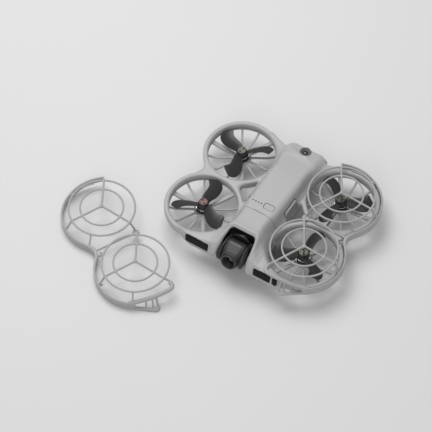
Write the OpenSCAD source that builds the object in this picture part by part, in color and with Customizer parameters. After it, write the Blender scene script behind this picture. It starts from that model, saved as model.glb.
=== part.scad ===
// Palm-size ducted camera drone with four three-blade propellers, a two-axis
// camera, a lift-out battery and a pair of snap-on propeller guards.
// The drone faces -Y and stands on its belly at z = 0, with the origin below
// the middle of its four motors. Millimetres, +Z up.

/* [Motors and propellers] */
// Distance between the left and right motor axes
motor_span_x = 100; // [98:1:120]
// Distance between the front and rear motor axes
motor_span_y = 64.4; // [62:0.2:78]
// Height of the motor caps above the floor
cap_top = 27.5; // [26.5:0.1:30]
// Radius of a propeller
prop_r = 28.3; // [22:0.1:28.8]
// Chord of a blade at its middle
blade_chord = 12; // [9:0.1:13]
// Pitch of a blade
blade_pitch = 28; // [20:1:30]
// Radius of a motor cap
cap_r = 4; // [3.4:0.1:4.4]

/* [Ducts] */
// Gap between a blade tip and the duct wall
tip_gap = 1.5; // [1:0.1:3]
// Thickness of the duct wall, and of its rounded rim
duct_wall = 4.4; // [3.4:0.1:5.2]
// Height of the duct rims above the floor
rim_top = 24.1; // [23.6:0.1:26]
// Height of the moulded duct, with the grille that closes its foot
duct_h = 7.6; // [6.4:0.1:8]
// Width of a thin spoke
spoke_w = 1.1; // [0.8:0.1:1.6]
// Width of a thick arm
arm_w = 2.4; // [1.8:0.1:3]

/* [Body] */
// Half the width of the body at the battery
body_half_w = 18.5; // [17.8:0.1:19.4]
// Height of the body behind the camera
nose_top = 41; // [39:0.1:44]
// Height of the body over the rear deck
tail_top = 33.6; // [32:0.1:36]
// Distance from the motors' centre to the rear edge
tail_y = 63; // [62:0.2:70]
// Distance from the motors' centre to the front face
front_y = 70; // [69:0.2:76]
// Thickness of the moulded walls
wall = 1.4; // [1.1:0.1:1.8]

/* [Battery] */
// Front seam of the battery, behind the motors' centre when positive
seam_y = -24; // [-27:0.5:-21]
// Half the width of the battery inside its bay
battery_half_w = 16.3; // [15:0.1:16.5]
// Length of the power button
button_l = 9.6; // [8:0.1:11]
// Width of the power button
button_w = 6; // [5:0.1:6.6]

/* [Camera] */
// Height of the camera's tilt and roll axes
tilt_z = 28; // [27.2:0.1:29]
// Distance of the tilt axis in front of the motors' centre
tilt_y = 61.5; // [60.8:0.1:62.4]
// Radius of the camera's drum
drum_r = 9; // [8.4:0.1:9.1]
// Half the width of the drum
drum_half_w = 8.5; // [7.6:0.1:8.6]
// Radius of the lens glass
lens_r = 4.3; // [3.6:0.1:4.5]

/* [Guards] */
// Height of the guard rings above the floor on the drone
ring_z = 34.1; // [33.6:0.1:37]
// Radius of the outer ring of a cage
outer_ring_r = 28.9; // [26:0.1:30]
// Radius of the inner ring of a cage
inner_ring_r = 18.8; // [14:0.1:21]
// Rise of the hub over the outer ring
hub_rise = 2.8; // [1.5:0.1:4]
// Radius of the guard's wires
wire_r = 0.8; // [0.5:0.05:0.95]
// Thickness of the guard's skirt
skirt_t = 1.3; // [1:0.1:1.6]
// Height of the skirt's lower edge on the drone
skirt_foot = 17.4; // [17:0.1:18]
// Turn of the guard that is off the drone
off_turn = 59.5; // [40:0.5:80]
// Place of the guard that is off the drone, across
off_x = -97.8; // [-130:0.2:-96]
// Place of the guard that is off the drone, along
off_y = -94; // [-120:0.2:-92]

/* [Hidden] */

// Clearances
fit_gap = 0.3;       // between pieces that come apart
run_gap = 0.06;      // between a shaft and its bore
slip_gap = 0.25;     // round a button or a latch
eps = 0.5;           // how far a cutter runs past a face

// Motors and ducts
half_x = motor_span_x / 2;
half_y = motor_span_y / 2;
bore_r = prop_r + tip_gap;
duct_r = bore_r + duct_wall;
bead_r = duct_wall / 2;
duct_foot = rim_top - duct_h;
grille_h = 1.8;
ring_foot = duct_foot + grille_h;
hub_top = duct_foot - 0.5;
hub_foot = hub_top - 1.6;
hub_r = 8.2;
side_flare = 0.48;   // how far the body leans back over a duct, per mm of height
flare_h = nose_top + 4 - rim_top;

// Motor stack
shaft_r = 0.75;
base_t = 0.8;
base_r = 6.6;
core_r = 4.6;
bell_r = 6;
bell_t = 0.6;
bell_foot = hub_top + base_t + 0.3;
blade_low = rim_top - 4.4;
prop_foot = blade_low + 1.2;
prop_hub_h = 4.4;        // up to the pitch axis of the blades
blade_t = 0.9;
cap_t = 1.2;
cap_foot = cap_top - cap_t;
cap_screw_r = 0.75;
cap_screw_at = 2;
boss_r = cap_r + 0.4;

// Rest angle of the first blade, its pitch hand and the screws of each rotor
fl_turn = 100;
rl_turn = 30;
screw_turn = 40;

// Body heights and lengths
split_z = 13;
bay_floor = 15;
waist_top = rim_top + 0.3;
notch_y = -47.5;
notch_half = 12.2;
notch_mouth = 15;
bay_half = battery_half_w + fit_gap;
battery_tail = 46.5;
bay_tail = battery_tail + fit_gap;
cover_tail = battery_tail + 1.7;  // the cover laps over the rear edge of the bay
cell_half = 11.6;
cell_l = 58;
cell_t = 6;
room_half = battery_half_w - wall - 2;
room_top = tail_top - wall - 1.6;
cell_foot = bay_floor + fit_gap + wall + 0.2;
slope = (nose_top - tail_top) / 96;   // fall of the body's top towards the rear
mid_top = nose_top - slope * 23.5;

// Front sensor windows
window_foot = ring_foot + 1.5;
window_h = 9;
window_t = 1.2;

// Screws that join the two halves of the frame
screw_posts = [[-12.5, -38], [12.5, -38], [-8.5, 51], [8.5, 51]];
screw_r = 0.8;
screw_head_r = 1.6;
screw_reach = 4.5;   // length of thread in the upper frame
rear_roof = rim_top + 1.5;        // roof of the hollow under the rear deck
nose_roof = nose_top - 6;         // roof of the hollow behind the camera

// Rear lens, socket and main board
rear_lens_r = 4.9;
rear_glass_r = 3.6;
rear_lens_y = tail_y - 6;
rear_lens_foot = rim_top - 3.6;
usb_w = 9;
usb_h = 3.3;
usb_l = 7;
usb_z = 17;
board_z = 8;
board_t = 1.2;
sensor_y = -17;      // middle of the downward sensors

// Latch and its window
latch_front = -8.8;
latch_tail = 9.8;
latch_foot = 17.2;
latch_top = 30.6;
latch_t = 2.2;
latch_x = battery_half_w + 0.5;
latch_travel = 1.2;
latch_stem_r = 1.5;
latch_recess = latch_x - latch_travel - slip_gap;

// Power button
button_x = 5.3;
button_y = -15;
button_travel = 0.5;
led_at = [-10.5, -7.8, -5.1, -2.4];
led_r = 0.6;
button_top = nose_top - slope * (button_y - notch_y) - 0.15;

// Camera
yoke_in = drum_half_w + 0.35;
yoke_out = 10.9;
yoke_disc_r = 7.6;
yoke_back = tilt_y - drum_r - 0.5;
yoke_t = 1.7;
tilt_motor_r = 5.2;
pin_r = 1;
roll_motor_r = 6.4;
face_y = tilt_y + 12.4;
face_w = 14.4;
face_h = 12.4;
barrel_r = lens_r + 0.9;

// Guards
skirt_in = duct_r + fit_gap;
skirt_out = skirt_in + skirt_t;
lip_z = rim_top + fit_gap;
lip_t = 1.4;
skirt_top = lip_z + lip_t;
lip_in = bore_r + 2.6;
lap = 0.2;           // how far the lip reaches into the wall
spoke_out = skirt_in + 0.4;
waist_apex = 20.8;   // from the motors' line to the waist between two ducts
inner_apex = 18;     // from the motors' line to the body's side hole
tail_turn = 119;     // where the skirt's tail ends, round the rear duct
tail_top_z = 30.4;
off_drop = -skirt_foot;

// Fillet circle that joins two circles of radius R on the line x = 0, at
// heights +h and -h, with its near edge a from that line
function fillet_r(a, h, R) = (a * a + h * h - R * R) / (2 * (R - a));

// ---------- shared shapes ----------

// A slim eight-sided bar between two points
module rod(p, q, r) {
    d = q - p;
    len = norm(d);
    translate(p)
        rotate([0, acos(d[2] / len), atan2(d[1], d[0])])
            cylinder(h = len, r = r, $fn = 8);
}

// The children and their mirror image across the drone's middle
module both_sides() {
    children();
    mirror([1, 0, 0]) children();
}

// A rectangle with round corners, centred
module round_rect(w, l, r) {
    square([w - 2 * r, l], center = true);
    square([w, l - 2 * r], center = true);
    for (sx = [-1, 1], sy = [-1, 1])
        translate([sx * (w / 2 - r), sy * (l / 2 - r)])
            circle(r = r, $fn = 24);
}

// An outline in y and z, run across the drone from -half to half
module across(half, outline)
    translate([half, 0, 0])
        rotate([90, 0, -90]) mirror([1, 0, 0])
            linear_extrude(2 * half) polygon(outline);

// A half outline in x and z and its mirror image, run along y
module along(y0, y1, half_outline)
    translate([0, y1, 0])
        rotate([90, 0, 0]) linear_extrude(y1 - y0)
            polygon(concat(half_outline,
                [for (i = [len(half_outline) - 1 : -1 : 0])
                    [-half_outline[i][0], half_outline[i][1]]]));

// The clear way through a duct, with the lean of the body above it
module duct_cutter(extra) {
    translate([0, 0, -eps]) cylinder(h = rim_top + 2 * eps, r = bore_r + extra, $fn = 96);
    translate([0, 0, rim_top])
        cylinder(h = flare_h, r1 = bore_r + extra, r2 = bore_r + extra + side_flare * flare_h, $fn = 96);
}

module all_motors()
    for (sx = [-1, 1], sy = [-1, 1])
        translate([sx * half_x, sy * half_y, 0]) children();

// Fills the notch between two neighbouring ducts up to a round apex
module duct_web(apex) {
    f = fillet_r(apex, half_y, duct_r - 0.8);
    difference() {
        translate([0, 0, ring_foot])
            linear_extrude(rim_top - 0.6 - ring_foot)
                polygon([[0, half_y], [apex + f, 0], [0, -half_y]]);
        translate([apex + f, 0, 0])
            cylinder(h = 2 * rim_top, r = f, center = true, $fn = 64);
        translate([apex + f, -2 * half_y, 0]) cube([2 * f, 4 * half_y, rim_top * 2]);
    }
}

// ---------- frame ----------

module duct_ring()
    rotate_extrude($fn = 96)
        polygon(concat(
            [[bore_r, ring_foot], [duct_r, ring_foot]],
            [for (a = [0:30:180]) [bore_r + bead_r + bead_r * cos(a), rim_top - bead_r + bead_r * sin(a)]]));

// Outer form of the body, drawn in by `inset` for its hollow and its battery
module body_form(inset, y0, y1) {
    shoulder = body_half_w - inset;
    intersection() {
        along(y0, y1, [
            [0, split_z + 1], [shoulder, split_z + 1], [shoulder, waist_top],
            [shoulder - 1.2, waist_top + 5], [shoulder - 3.6, nose_top - 4.6 - inset],
            [shoulder - 5.6, nose_top - 2 - inset], [shoulder - 9, nose_top - 0.6 - inset],
            [0, nose_top + 0.4 - inset]]);
        across(40, [
            [y0, split_z], [y0, nose_top - slope * (y0 - notch_y) - inset + 0.4],
            [36, mid_top - slope * 60 - inset], [48.5, tail_top - inset],
            [56, tail_top - 2.3 - inset], [tail_y - 2, tail_top - 5.2 - inset],
            [tail_y, tail_top - 9], [tail_y, split_z]]);
    }
}

// Wings on either side of the camera, which hold the front sensors
module front_wings()
    intersection() {
        translate([0, 0, ring_foot - 1.8])
            linear_extrude(nose_top)
                for (s = [0, 1]) mirror([s, 0])
                    polygon([[0, notch_y + 6], [0, notch_y - 1], [notch_half, notch_y - 2],
                        [notch_mouth, -front_y], [notch_mouth + 2, -front_y - 2.4],
                        [notch_mouth + 5, -front_y - 1], [notch_mouth + 7, -front_y],
                        [half_x - 5, -front_y], [half_x + 30, -half_y - 15.8],
                        [half_x + 20, -half_y], [half_x - 30, -half_y + 8]]);
        along(-front_y - 4, -half_y + 10, [
            [0, ring_foot - 0.8], [half_x + 36, ring_foot - 0.8], [half_x + 36, rim_top - 2],
            [half_x + 12, rim_top + 0.6], [half_x - 4, rim_top + 4.6],
            [notch_mouth + 9, rim_top + 6.6], [notch_mouth + 2, rim_top + 10],
            [notch_mouth - 1, nose_top - 3], [notch_half - 2, nose_top - 1], [0, nose_top]]);
        across(half_x + 40, [
            [-front_y - 3, ring_foot + 1.4], [-front_y - 3, ring_foot + 5],
            [-front_y, rim_top + 5], [-front_y + 3, rim_top + 7],
            [notch_y - 2, nose_top - 1.4], [notch_y + 10, nose_top], [-half_y + 12, nose_top],
            [-half_y + 12, ring_foot - 1], [-front_y + 8, ring_foot - 0.8]]);
    }

// Shoulders that run from the rear deck out to the rear ducts
module rear_shoulders()
    both_sides()
        intersection() {
            translate([0, 0, ring_foot])
                linear_extrude(12)
                    polygon([[0, half_y], [0, tail_y - 4], [14.3, 58], [20, 57.6],
                        [27, 59.6], [half_x - 16, half_y + 30.3], [half_x - 4, half_y + duct_r - 0.4],
                        [half_x - 4, half_y]]);
            along(half_y, tail_y + 6, [
                [0, ring_foot], [half_x, ring_foot], [half_x, rim_top - 0.8],
                [half_x - 18, rim_top + 0.8], [20, rim_top + 3], [14, rim_top + 6.6], [0, rim_top + 8]]);
        }

// Cuts the camera's notch through the nose
module camera_notch() {
    translate([0, 0, ring_foot - 8])
        linear_extrude(nose_top)
            polygon([[-notch_half + 2.5, notch_y], [notch_half - 2.5, notch_y],
                [notch_half - 0.6, notch_y - 1], [notch_half, notch_y - 3],
                [notch_mouth, -front_y - 6], [-notch_mouth, -front_y - 6],
                [-notch_half, notch_y - 3], [-notch_half + 0.6, notch_y - 1]]);
    translate([0, notch_y + 3, tilt_z])
        rotate([90, 0, 0]) cylinder(h = 5, r = roll_motor_r + fit_gap, $fn = 48);
}

module bay_cutter() {
    translate([-bay_half, seam_y, bay_floor])
        cube([2 * bay_half, bay_tail - seam_y, nose_top]);
    // room of the battery's cover, across the whole body
    translate([-body_half_w - 1, seam_y, waist_top])
        cube([2 * body_half_w + 2, cover_tail + fit_gap - seam_y, nose_top]);
    // windows for the release latches, open at the top
    translate([-body_half_w - 2, latch_front - slip_gap, latch_foot - slip_gap])
        cube([2 * body_half_w + 4, latch_tail - latch_front + 2 * slip_gap, nose_top]);
}

module hollow_cutter() {
    // behind the camera
    translate([-12, notch_y + wall + 0.6, split_z - eps])
        cube([24, seam_y - notch_y - 2 * wall - 1.2, nose_roof - split_z + eps]);
    // under the rear deck
    translate([-11, bay_tail + wall, split_z - eps])
        cube([22, tail_y - bay_tail - 2 * wall - 2, rear_roof - split_z + eps]);
    // over the main board
    translate([-bay_half + wall, seam_y + 4, split_z - eps])
        cube([2 * (bay_half - wall), bay_tail - seam_y - 8, bay_floor - wall - split_z + eps + 0.6]);
}

// Spans of the sensor windows across the front: one on the left, two on the right
function window_spans(s) = s == 1
    ? [[notch_mouth + 7.3, half_x - 4.6]]
    : [[notch_mouth + 7.3, half_x - 11], [half_x - 9.4, half_x - 4.6]];

module window_recess()
    for (s = [0, 1], span = window_spans(s))
        mirror([s, 0, 0])
            translate([span[0], -front_y - eps, window_foot])
                cube([span[1] - span[0], window_t + 0.4 + eps, window_h]);

module upper_frame()
    color([0.74, 0.75, 0.76])
        difference() {
            union() {
                difference() {
                    frame_form();
                    hollow_cutter();
                }
                for (p = screw_posts)
                    translate([p[0], p[1], split_z])
                        cylinder(h = rear_roof + 1 - split_z, r = 2.2, $fn = 32);
            }
            all_motors() {
                translate([0, 0, -1]) duct_cutter(-0.001);
                // room of the grille
                translate([0, 0, split_z - eps])
                    cylinder(h = ring_foot - split_z + eps, r = duct_r, $fn = 96);
            }
            camera_notch();
            bay_cutter();
            window_recess();
            for (p = screw_posts)
                translate([p[0], p[1], split_z - eps])
                    cylinder(h = screw_reach + 1, r = screw_r + run_gap, $fn = 32);
            // seats of the rear lens and the usb socket
            translate([0, rear_lens_y, rear_lens_foot - 0.4])
                cylinder(h = 20, r = rear_lens_r + fit_gap / 2, $fn = 48);
            translate([0, tail_y - usb_l + 1, usb_z])
                cube([usb_w + 0.2, 2 * usb_l, usb_h + 0.2], center = true);
        }

// The upper frame before its openings are cut
module frame_form() {
    all_motors() duct_ring();
    both_sides()
        translate([half_x, 0, 0])
            for (s = [0, 1]) mirror([s, 0, 0]) duct_web(s == 0 ? waist_apex : inner_apex);
    intersection() {
        body_form(0, notch_y, tail_y);
        translate([-40, -80, split_z]) cube([80, 160, 40]);
    }
    front_wings();
    rear_shoulders();
    for (s = [-1, 1])
        translate([s * 12, tail_y - 1.4, ring_foot])
            cylinder(h = rim_top + 3 - ring_foot, r = 2.4, $fn = 32);
}

module belly_form(inset)
    intersection() {
        along(-60, 70, [
            [0, inset], [12 - inset / 2, inset], [15 - inset, 1.4 + inset / 2],
            [body_half_w - 0.5 - inset, 8], [body_half_w - inset, split_z], [0, split_z]]);
        across(40, [
            [-39 + inset, inset], [-45.5 + inset, 5], [notch_y + inset, split_z],
            [tail_y - 3 - inset, split_z], [tail_y - 5 - inset, 5], [tail_y - 11 - inset, inset]]);
    }

module lower_frame()
    color([0.7, 0.71, 0.72])
        difference() {
            union() {
                difference() {
                    belly_form(0);
                    belly_form(wall);
                    translate([0, 0, split_z - wall]) linear_extrude(wall + 1)
                        polygon([[-body_half_w + wall, notch_y + 2], [body_half_w - wall, notch_y + 2],
                            [body_half_w - wall, tail_y - 5], [-body_half_w + wall, tail_y - 5]]);
                }
                for (p = screw_posts)
                    translate([p[0], p[1], 0.9]) cylinder(h = split_z - 0.9, r = 2.4, $fn = 32);
                // pillars under the main board
                for (sx = [-1, 1], y = [-26, 42])
                    translate([sx * 12, y, 0.9]) cylinder(h = board_z - 0.9, r = 1.8, $fn = 32);
            }
            for (p = screw_posts)
                translate([p[0], p[1], -eps]) {
                    cylinder(h = 30, r = screw_r + run_gap, $fn = 32);
                    cylinder(h = 6 + eps, r = screw_head_r + run_gap, $fn = 32);
                }
            // cooling slots in the floor
            for (i = [0:6])
                translate([-8, 26 + i * 2.4, -eps]) cube([16, 1.1, wall + 2 * eps]);
            // recess and hole of the downward sensors
            translate([0, sensor_y, -eps]) linear_extrude(0.9 + eps) round_rect(14, 30, 3);
            for (s = [-1, 1])
                translate([0, sensor_y + s * 9, -eps]) cylinder(h = 6, r = 3, $fn = 32);
        }

// A spoke from the motor's hub to the foot of the duct, standing on edge
module spoke(turn, w, thick)
    rotate([0, 0, turn])
        translate([0, w / 2, 0]) rotate([90, 0, 0])
            linear_extrude(w)
                polygon(thick ?
                    [[hub_r - 1, hub_foot], [hub_r + 8, hub_foot], [bore_r + 1.5, duct_foot],
                     [bore_r + 1.5, ring_foot], [bore_r - 4, ring_foot], [hub_r - 1, hub_top]] :
                    [[hub_r - 1, hub_foot + 0.3], [bore_r - 5, hub_foot + 0.3], [bore_r + 1.5, duct_foot + 0.1],
                     [bore_r + 1.5, ring_foot - 0.1], [bore_r - 1, ring_foot - 0.1], [bore_r - 5.6, hub_top - 0.1],
                     [hub_r - 1, hub_top - 0.1]]);

// Grille that closes the foot of a duct and carries its motor
module grille(sx, sy)
    color([0.7, 0.71, 0.72])
        translate([sx * half_x, sy * half_y, 0]) {
            difference() {
                translate([0, 0, duct_foot]) cylinder(h = grille_h, r = duct_r - fit_gap, $fn = 96);
                translate([0, 0, duct_foot - eps]) cylinder(h = grille_h + 2 * eps, r = bore_r, $fn = 96);
                // the two grilles of one side meet on the line between their ducts
                translate([0, -sy * (half_y - fit_gap / 2 + duct_r), 0])
                    cube([2 * duct_r, 2 * duct_r, 3 * rim_top], center = true);
            }
            difference() {
                union() {
                    translate([0, 0, hub_foot]) cylinder(h = hub_top - hub_foot, r = hub_r, $fn = 48);
                    for (i = [0:11])
                        spoke(i * 30, i % 4 == (sx < 0 ? 2 : 0) ? arm_w : spoke_w, i % 4 == (sx < 0 ? 2 : 0));
                }
                translate([0, 0, hub_foot - eps]) cylinder(h = 4, r = 2.6, $fn = 32);
                for (a = [45:90:315])
                    rotate([0, 0, a]) translate([5.2, 0, hub_foot - eps])
                        cylinder(h = 4, r = 0.6, $fn = 24);
            }
        }

module frame_screws()
    color([0.2, 0.2, 0.21])
        for (p = screw_posts)
            translate([p[0], p[1], 0]) {
                translate([0, 0, 4.4]) cylinder(h = 1.6, r = screw_head_r, $fn = 32);
                translate([0, 0, 5.5]) cylinder(h = split_z - 5.5 + screw_reach, r = screw_r, $fn = 32);
            }

module front_window(s)
    color([0.05, 0.05, 0.06])
        mirror([s, 0, 0])
            for (span = window_spans(s))
                translate([span[0] + 0.1, -front_y + 0.4, window_foot + 0.1])
                    cube([span[1] - span[0] - 0.2, window_t, window_h - 0.2]);

// ---------- rear deck, belly and electronics ----------

module rear_lens_housing()
    color([0.6, 0.6, 0.62])
        translate([0, rear_lens_y, rear_lens_foot])
            difference() {
                cylinder(h = 10, r = rear_lens_r, $fn = 48);
                translate([0, 0, 8.2]) cylinder(h = 3, r = rear_glass_r + 0.1, $fn = 48);
            }

module rear_lens_glass()
    color([0.04, 0.04, 0.05])
        translate([0, rear_lens_y, rear_lens_foot + 8.2])
            cylinder(h = 1.4, r = rear_glass_r, $fn = 48);

module belly_sensor_window()
    color([0.05, 0.05, 0.06]) {
        translate([0, sensor_y, 0.3]) linear_extrude(0.6) round_rect(13.8, 29.8, 2.9);
        for (s = [-1, 1])
            translate([0, sensor_y + s * 9, 0.6]) cylinder(h = 4.4, r = 2.9, $fn = 32);
    }

module usb_socket()
    color([0.7, 0.7, 0.72])
        translate([0, tail_y - usb_l / 2 - 0.3, usb_z])
            rotate([90, 0, 0])
                linear_extrude(usb_l, center = true)
                    difference() {
                        round_rect(usb_w, usb_h, 1.5);
                        round_rect(usb_w - 0.8, usb_h - 0.8, 1.2);
                    }

module main_board()
    color([0.1, 0.28, 0.2]) {
        translate([-14, -30, board_z]) cube([28, 76, board_t]);
        translate([-8, -10, board_z + board_t]) cube([16, 16, 1.6]);
        translate([-7, 14, board_z + board_t]) cube([14, 12, 1.4]);
        translate([-10, 32, board_z + board_t]) cube([20, 7, 1.8]);
    }

module heat_sink()
    color([0.72, 0.73, 0.75]) {
        translate([-11, -2, wall]) cube([22, 26, 1.2]);
        for (i = [0:6])
            translate([-11 + i * 3.4, -2, wall + 1]) cube([1.2, 26, board_z - fit_gap - wall - 1]);
    }

module gnss_antenna()
    color([0.8, 0.76, 0.66])
        translate([-7, notch_y + 5, nose_roof - fit_gap - 4]) cube([14, 14, 4]);

module battery_contacts()
    color([0.78, 0.66, 0.34]) {
        translate([-9, bay_tail - 3.4, bay_floor]) cube([18, 3.2, 2.4]);
        for (i = [0:5])
            translate([-7.9 + i * 3, bay_tail - 2.2, bay_floor + 2]) cube([0.8, 1, 2.6]);
    }

// ---------- camera ----------

module roll_motor()
    color([0.12, 0.12, 0.13])
        rotate([90, 0, 0]) {
            translate([0, tilt_z, -notch_y - 2.4]) cylinder(h = yoke_back - yoke_t - fit_gap + notch_y + 2.4, r = roll_motor_r, $fn = 48);
            translate([0, tilt_z, -notch_y]) cylinder(h = yoke_back - 0.4 + notch_y, r = pin_r, $fn = 32);
        }

module gimbal_yoke()
    color([0.1, 0.1, 0.11])
        difference() {
            union() {
                // back plate, round about the roll axis, with its cross bar
                translate([0, -yoke_back, tilt_z]) rotate([-90, 0, 0])
                    cylinder(h = yoke_t, r = yoke_disc_r, $fn = 48);
                translate([-yoke_out, -yoke_back, tilt_z - 4])
                    cube([2 * yoke_out, yoke_t, 8]);
                for (s = [0, 1]) mirror([s, 0, 0]) {
                    translate([yoke_in, -tilt_y, tilt_z]) rotate([0, 90, 0])
                        cylinder(h = yoke_out - yoke_in, r = yoke_disc_r, $fn = 48);
                    translate([yoke_in, -tilt_y, tilt_z - 4])
                        cube([yoke_out - yoke_in, tilt_y - yoke_back + yoke_t, 8]);
                }
                // pin that carries the camera's left side
                translate([-yoke_in - 0.2, -tilt_y, tilt_z]) rotate([0, 90, 0])
                    cylinder(h = 2.6, r = pin_r, $fn = 32);
            }
            translate([0, -yoke_back - 1, tilt_z]) rotate([-90, 0, 0])
                cylinder(h = yoke_t + 2, r = pin_r + run_gap, $fn = 32);
            translate([yoke_in - 1, -tilt_y, tilt_z]) rotate([0, 90, 0])
                cylinder(h = yoke_out - yoke_in + 2, r = tilt_motor_r + 0.15, $fn = 48);
        }

module tilt_motor()
    color([0.16, 0.16, 0.17])
        translate([0, -tilt_y, tilt_z]) rotate([0, 90, 0]) {
            translate([0, 0, yoke_in]) cylinder(h = yoke_out - yoke_in, r = tilt_motor_r, $fn = 48);
            translate([0, 0, yoke_in - 2.4]) cylinder(h = 2.8, r = pin_r, $fn = 32);
        }

module camera_housing()
    color([0.13, 0.13, 0.14])
        difference() {
            union() {
                translate([-drum_half_w, -tilt_y, tilt_z]) rotate([0, 90, 0])
                    cylinder(h = 2 * drum_half_w, r = drum_r, $fn = 64);
                translate([0, -tilt_y - 4, tilt_z - 1]) rotate([90, 0, 0])
                    linear_extrude(face_y - tilt_y - 4) round_rect(face_w, face_h, 3);
            }
            // seats of the lens, its sensor and the two pins
            translate([0, -face_y + 1.1, tilt_z - 1]) rotate([90, 0, 0])
                linear_extrude(3) round_rect(face_w - 1.6, face_h - 1.6, 2.4);
            translate([0, -tilt_y - 1, tilt_z - 1]) rotate([90, 0, 0])
                cylinder(h = 30, r = barrel_r + 0.1, $fn = 48);
            translate([-5.2, -tilt_y - 1, tilt_z - 6.2]) cube([10.4, 3, 10.4]);
            for (s = [0, 1]) mirror([s, 0, 0])
                translate([drum_half_w - 2.4, -tilt_y, tilt_z]) rotate([0, 90, 0])
                    cylinder(h = 4, r = pin_r + run_gap, $fn = 32);
        }

module lens_barrel()
    color([0.05, 0.05, 0.06])
        difference() {
            translate([0, -tilt_y - 1.4, tilt_z - 1]) rotate([90, 0, 0])
                cylinder(h = face_y - tilt_y - 4.6, r = barrel_r, $fn = 48);
            translate([0, -face_y + 4, tilt_z - 1]) rotate([90, 0, 0])
                cylinder(h = 4, r = lens_r + 0.1, $fn = 48);
        }

module lens_glass()
    color([0.1, 0.1, 0.14])
        translate([0, -face_y + 4 - 0.05, tilt_z - 1]) rotate([90, 0, 0])
            cylinder(h = 0.9, r = lens_r, $fn = 48);

module lens_bezel()
    color([0.2, 0.2, 0.21])
        translate([0, -face_y + 1, tilt_z - 1]) rotate([90, 0, 0])
            difference() {
                linear_extrude(1.6) round_rect(face_w - 1.8, face_h - 1.8, 2.3);
                translate([0, 0, -eps]) cylinder(h = 1 + 2 * eps, r = lens_r + 0.4, $fn = 48);
                translate([0, 0, 0.4]) cylinder(h = 3, r1 = lens_r + 0.4, r2 = lens_r + 2.4, $fn = 48);
            }

module image_sensor()
    color([0.15, 0.25, 0.2])
        translate([-4.9, -tilt_y - 0.8, tilt_z - 5.9]) cube([9.8, 1.6, 9.8]);

// ---------- battery ----------

module battery_block(inset)
    translate([-battery_half_w + inset, seam_y + fit_gap + inset, bay_floor + fit_gap + inset])
        cube([2 * (battery_half_w - inset), battery_tail - seam_y - fit_gap - 2 * inset,
            waist_top - bay_floor - fit_gap - 2 * inset + 3]);

module battery_cover_form(inset)
    intersection() {
        body_form(inset, seam_y + fit_gap + inset, cover_tail - inset);
        translate([-40, -80, waist_top + fit_gap + inset]) cube([80, 160, 40]);
    }

module battery_shell()
    color([0.75, 0.76, 0.77])
        difference() {
            union() {
                battery_cover_form(0);
                battery_block(0);
            }
            all_motors() {
                duct_cutter(-fit_gap);
                translate([0, 0, bay_floor]) cylinder(h = ring_foot - bay_floor, r = duct_r, $fn = 96);
            }
            // room for the cells and the board
            translate([-room_half, seam_y + wall + 0.8, cell_foot - 0.2])
                cube([2 * room_half, battery_tail - seam_y - 2 * wall - 1, room_top - cell_foot + 0.2]);
            // recesses of the latches, and the bores of their stems
            both_sides() {
                translate([latch_recess, latch_front - slip_gap, latch_foot - slip_gap])
                    cube([10, latch_tail - latch_front + 2 * slip_gap, latch_top - latch_foot + 2 * slip_gap]);
                translate([10, (latch_front + latch_tail) / 2, (latch_foot + latch_top) / 2])
                    rotate([0, 90, 0]) cylinder(h = 10, r = latch_stem_r + run_gap, $fn = 32);
            }
            // hole and well of the power button, level with the sloping top
            at_button() {
                translate([0, 0, -3.4]) linear_extrude(8) round_rect(button_l + 2 * slip_gap, button_w + 2 * slip_gap, 2 + slip_gap);
            }
            for (x = led_at)
                translate([x, button_y, room_top - 1]) cylinder(h = 20, r = led_r + run_gap, $fn = 24);
            // slot over the contacts in the bay
            translate([-10, battery_tail - 4, bay_floor]) cube([20, 6, 6]);
        }

// Places its children on the battery's top at the power button
module at_button()
    translate([button_x, button_y, button_top])
        rotate([-atan(slope), 0, 0]) children();

module power_button()
    color([0.77, 0.78, 0.79])
        at_button() {
            translate([0, 0, -1.4]) linear_extrude(1.4) round_rect(button_l, button_w, 2);
            translate([0, 0, -3.2 + button_travel]) linear_extrude(2.4) round_rect(button_l - 2, button_w - 1.6, 1.4);
        }

module battery_cells()
    color([0.55, 0.57, 0.6]) {
        for (i = [0, 1])
            translate([-cell_half, -18, cell_foot + i * (cell_t + 0.2)])
                cube([2 * cell_half, cell_l, cell_t]);
    }

module battery_board()
    color([0.1, 0.3, 0.2]) {
        translate([-11, seam_y + wall + 1, room_top - 1.2]) cube([22, 18, 1]);
        translate([-9.6, battery_tail - wall - 4.8, cell_foot + 4]) cube([19.2, 1.2, 8]);
    }

module led_lenses()
    color([0.95, 0.95, 0.92])
        for (x = led_at)
            translate([x, button_y, room_top]) cylinder(h = button_top - room_top, r = led_r, $fn = 24);

module battery_latch(s)
    color([0.6, 0.61, 0.62])
        mirror([s, 0, 0]) {
            translate([latch_x, (latch_front + latch_tail) / 2, (latch_foot + latch_top) / 2])
                rotate([0, 90, 0])
                    linear_extrude(latch_t)
                        round_rect(latch_top - latch_foot, latch_tail - latch_front, 2.6);
            translate([room_half + 0.2, (latch_front + latch_tail) / 2, (latch_foot + latch_top) / 2])
                rotate([0, 90, 0]) cylinder(h = latch_x - room_half, r = latch_stem_r, $fn = 32);
        }

// ---------- motors and propellers ----------

module motor_stator(sx, sy)
    color([0.16, 0.16, 0.17])
        translate([sx * half_x, sy * half_y, hub_top])
            difference() {
                union() {
                    cylinder(h = base_t, r = base_r, $fn = 48);
                    cylinder(h = 1.6, r = 2.4, $fn = 32);
                    translate([0, 0, 1.4]) cylinder(h = blade_low - hub_top - 1.6, r = core_r, $fn = 48);
                    translate([0, 0, -1.2]) cylinder(h = 2, r = 2.4, $fn = 32);
                }
                translate([0, 0, -2]) cylinder(h = 12, r = shaft_r + run_gap, $fn = 32);
            }

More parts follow.
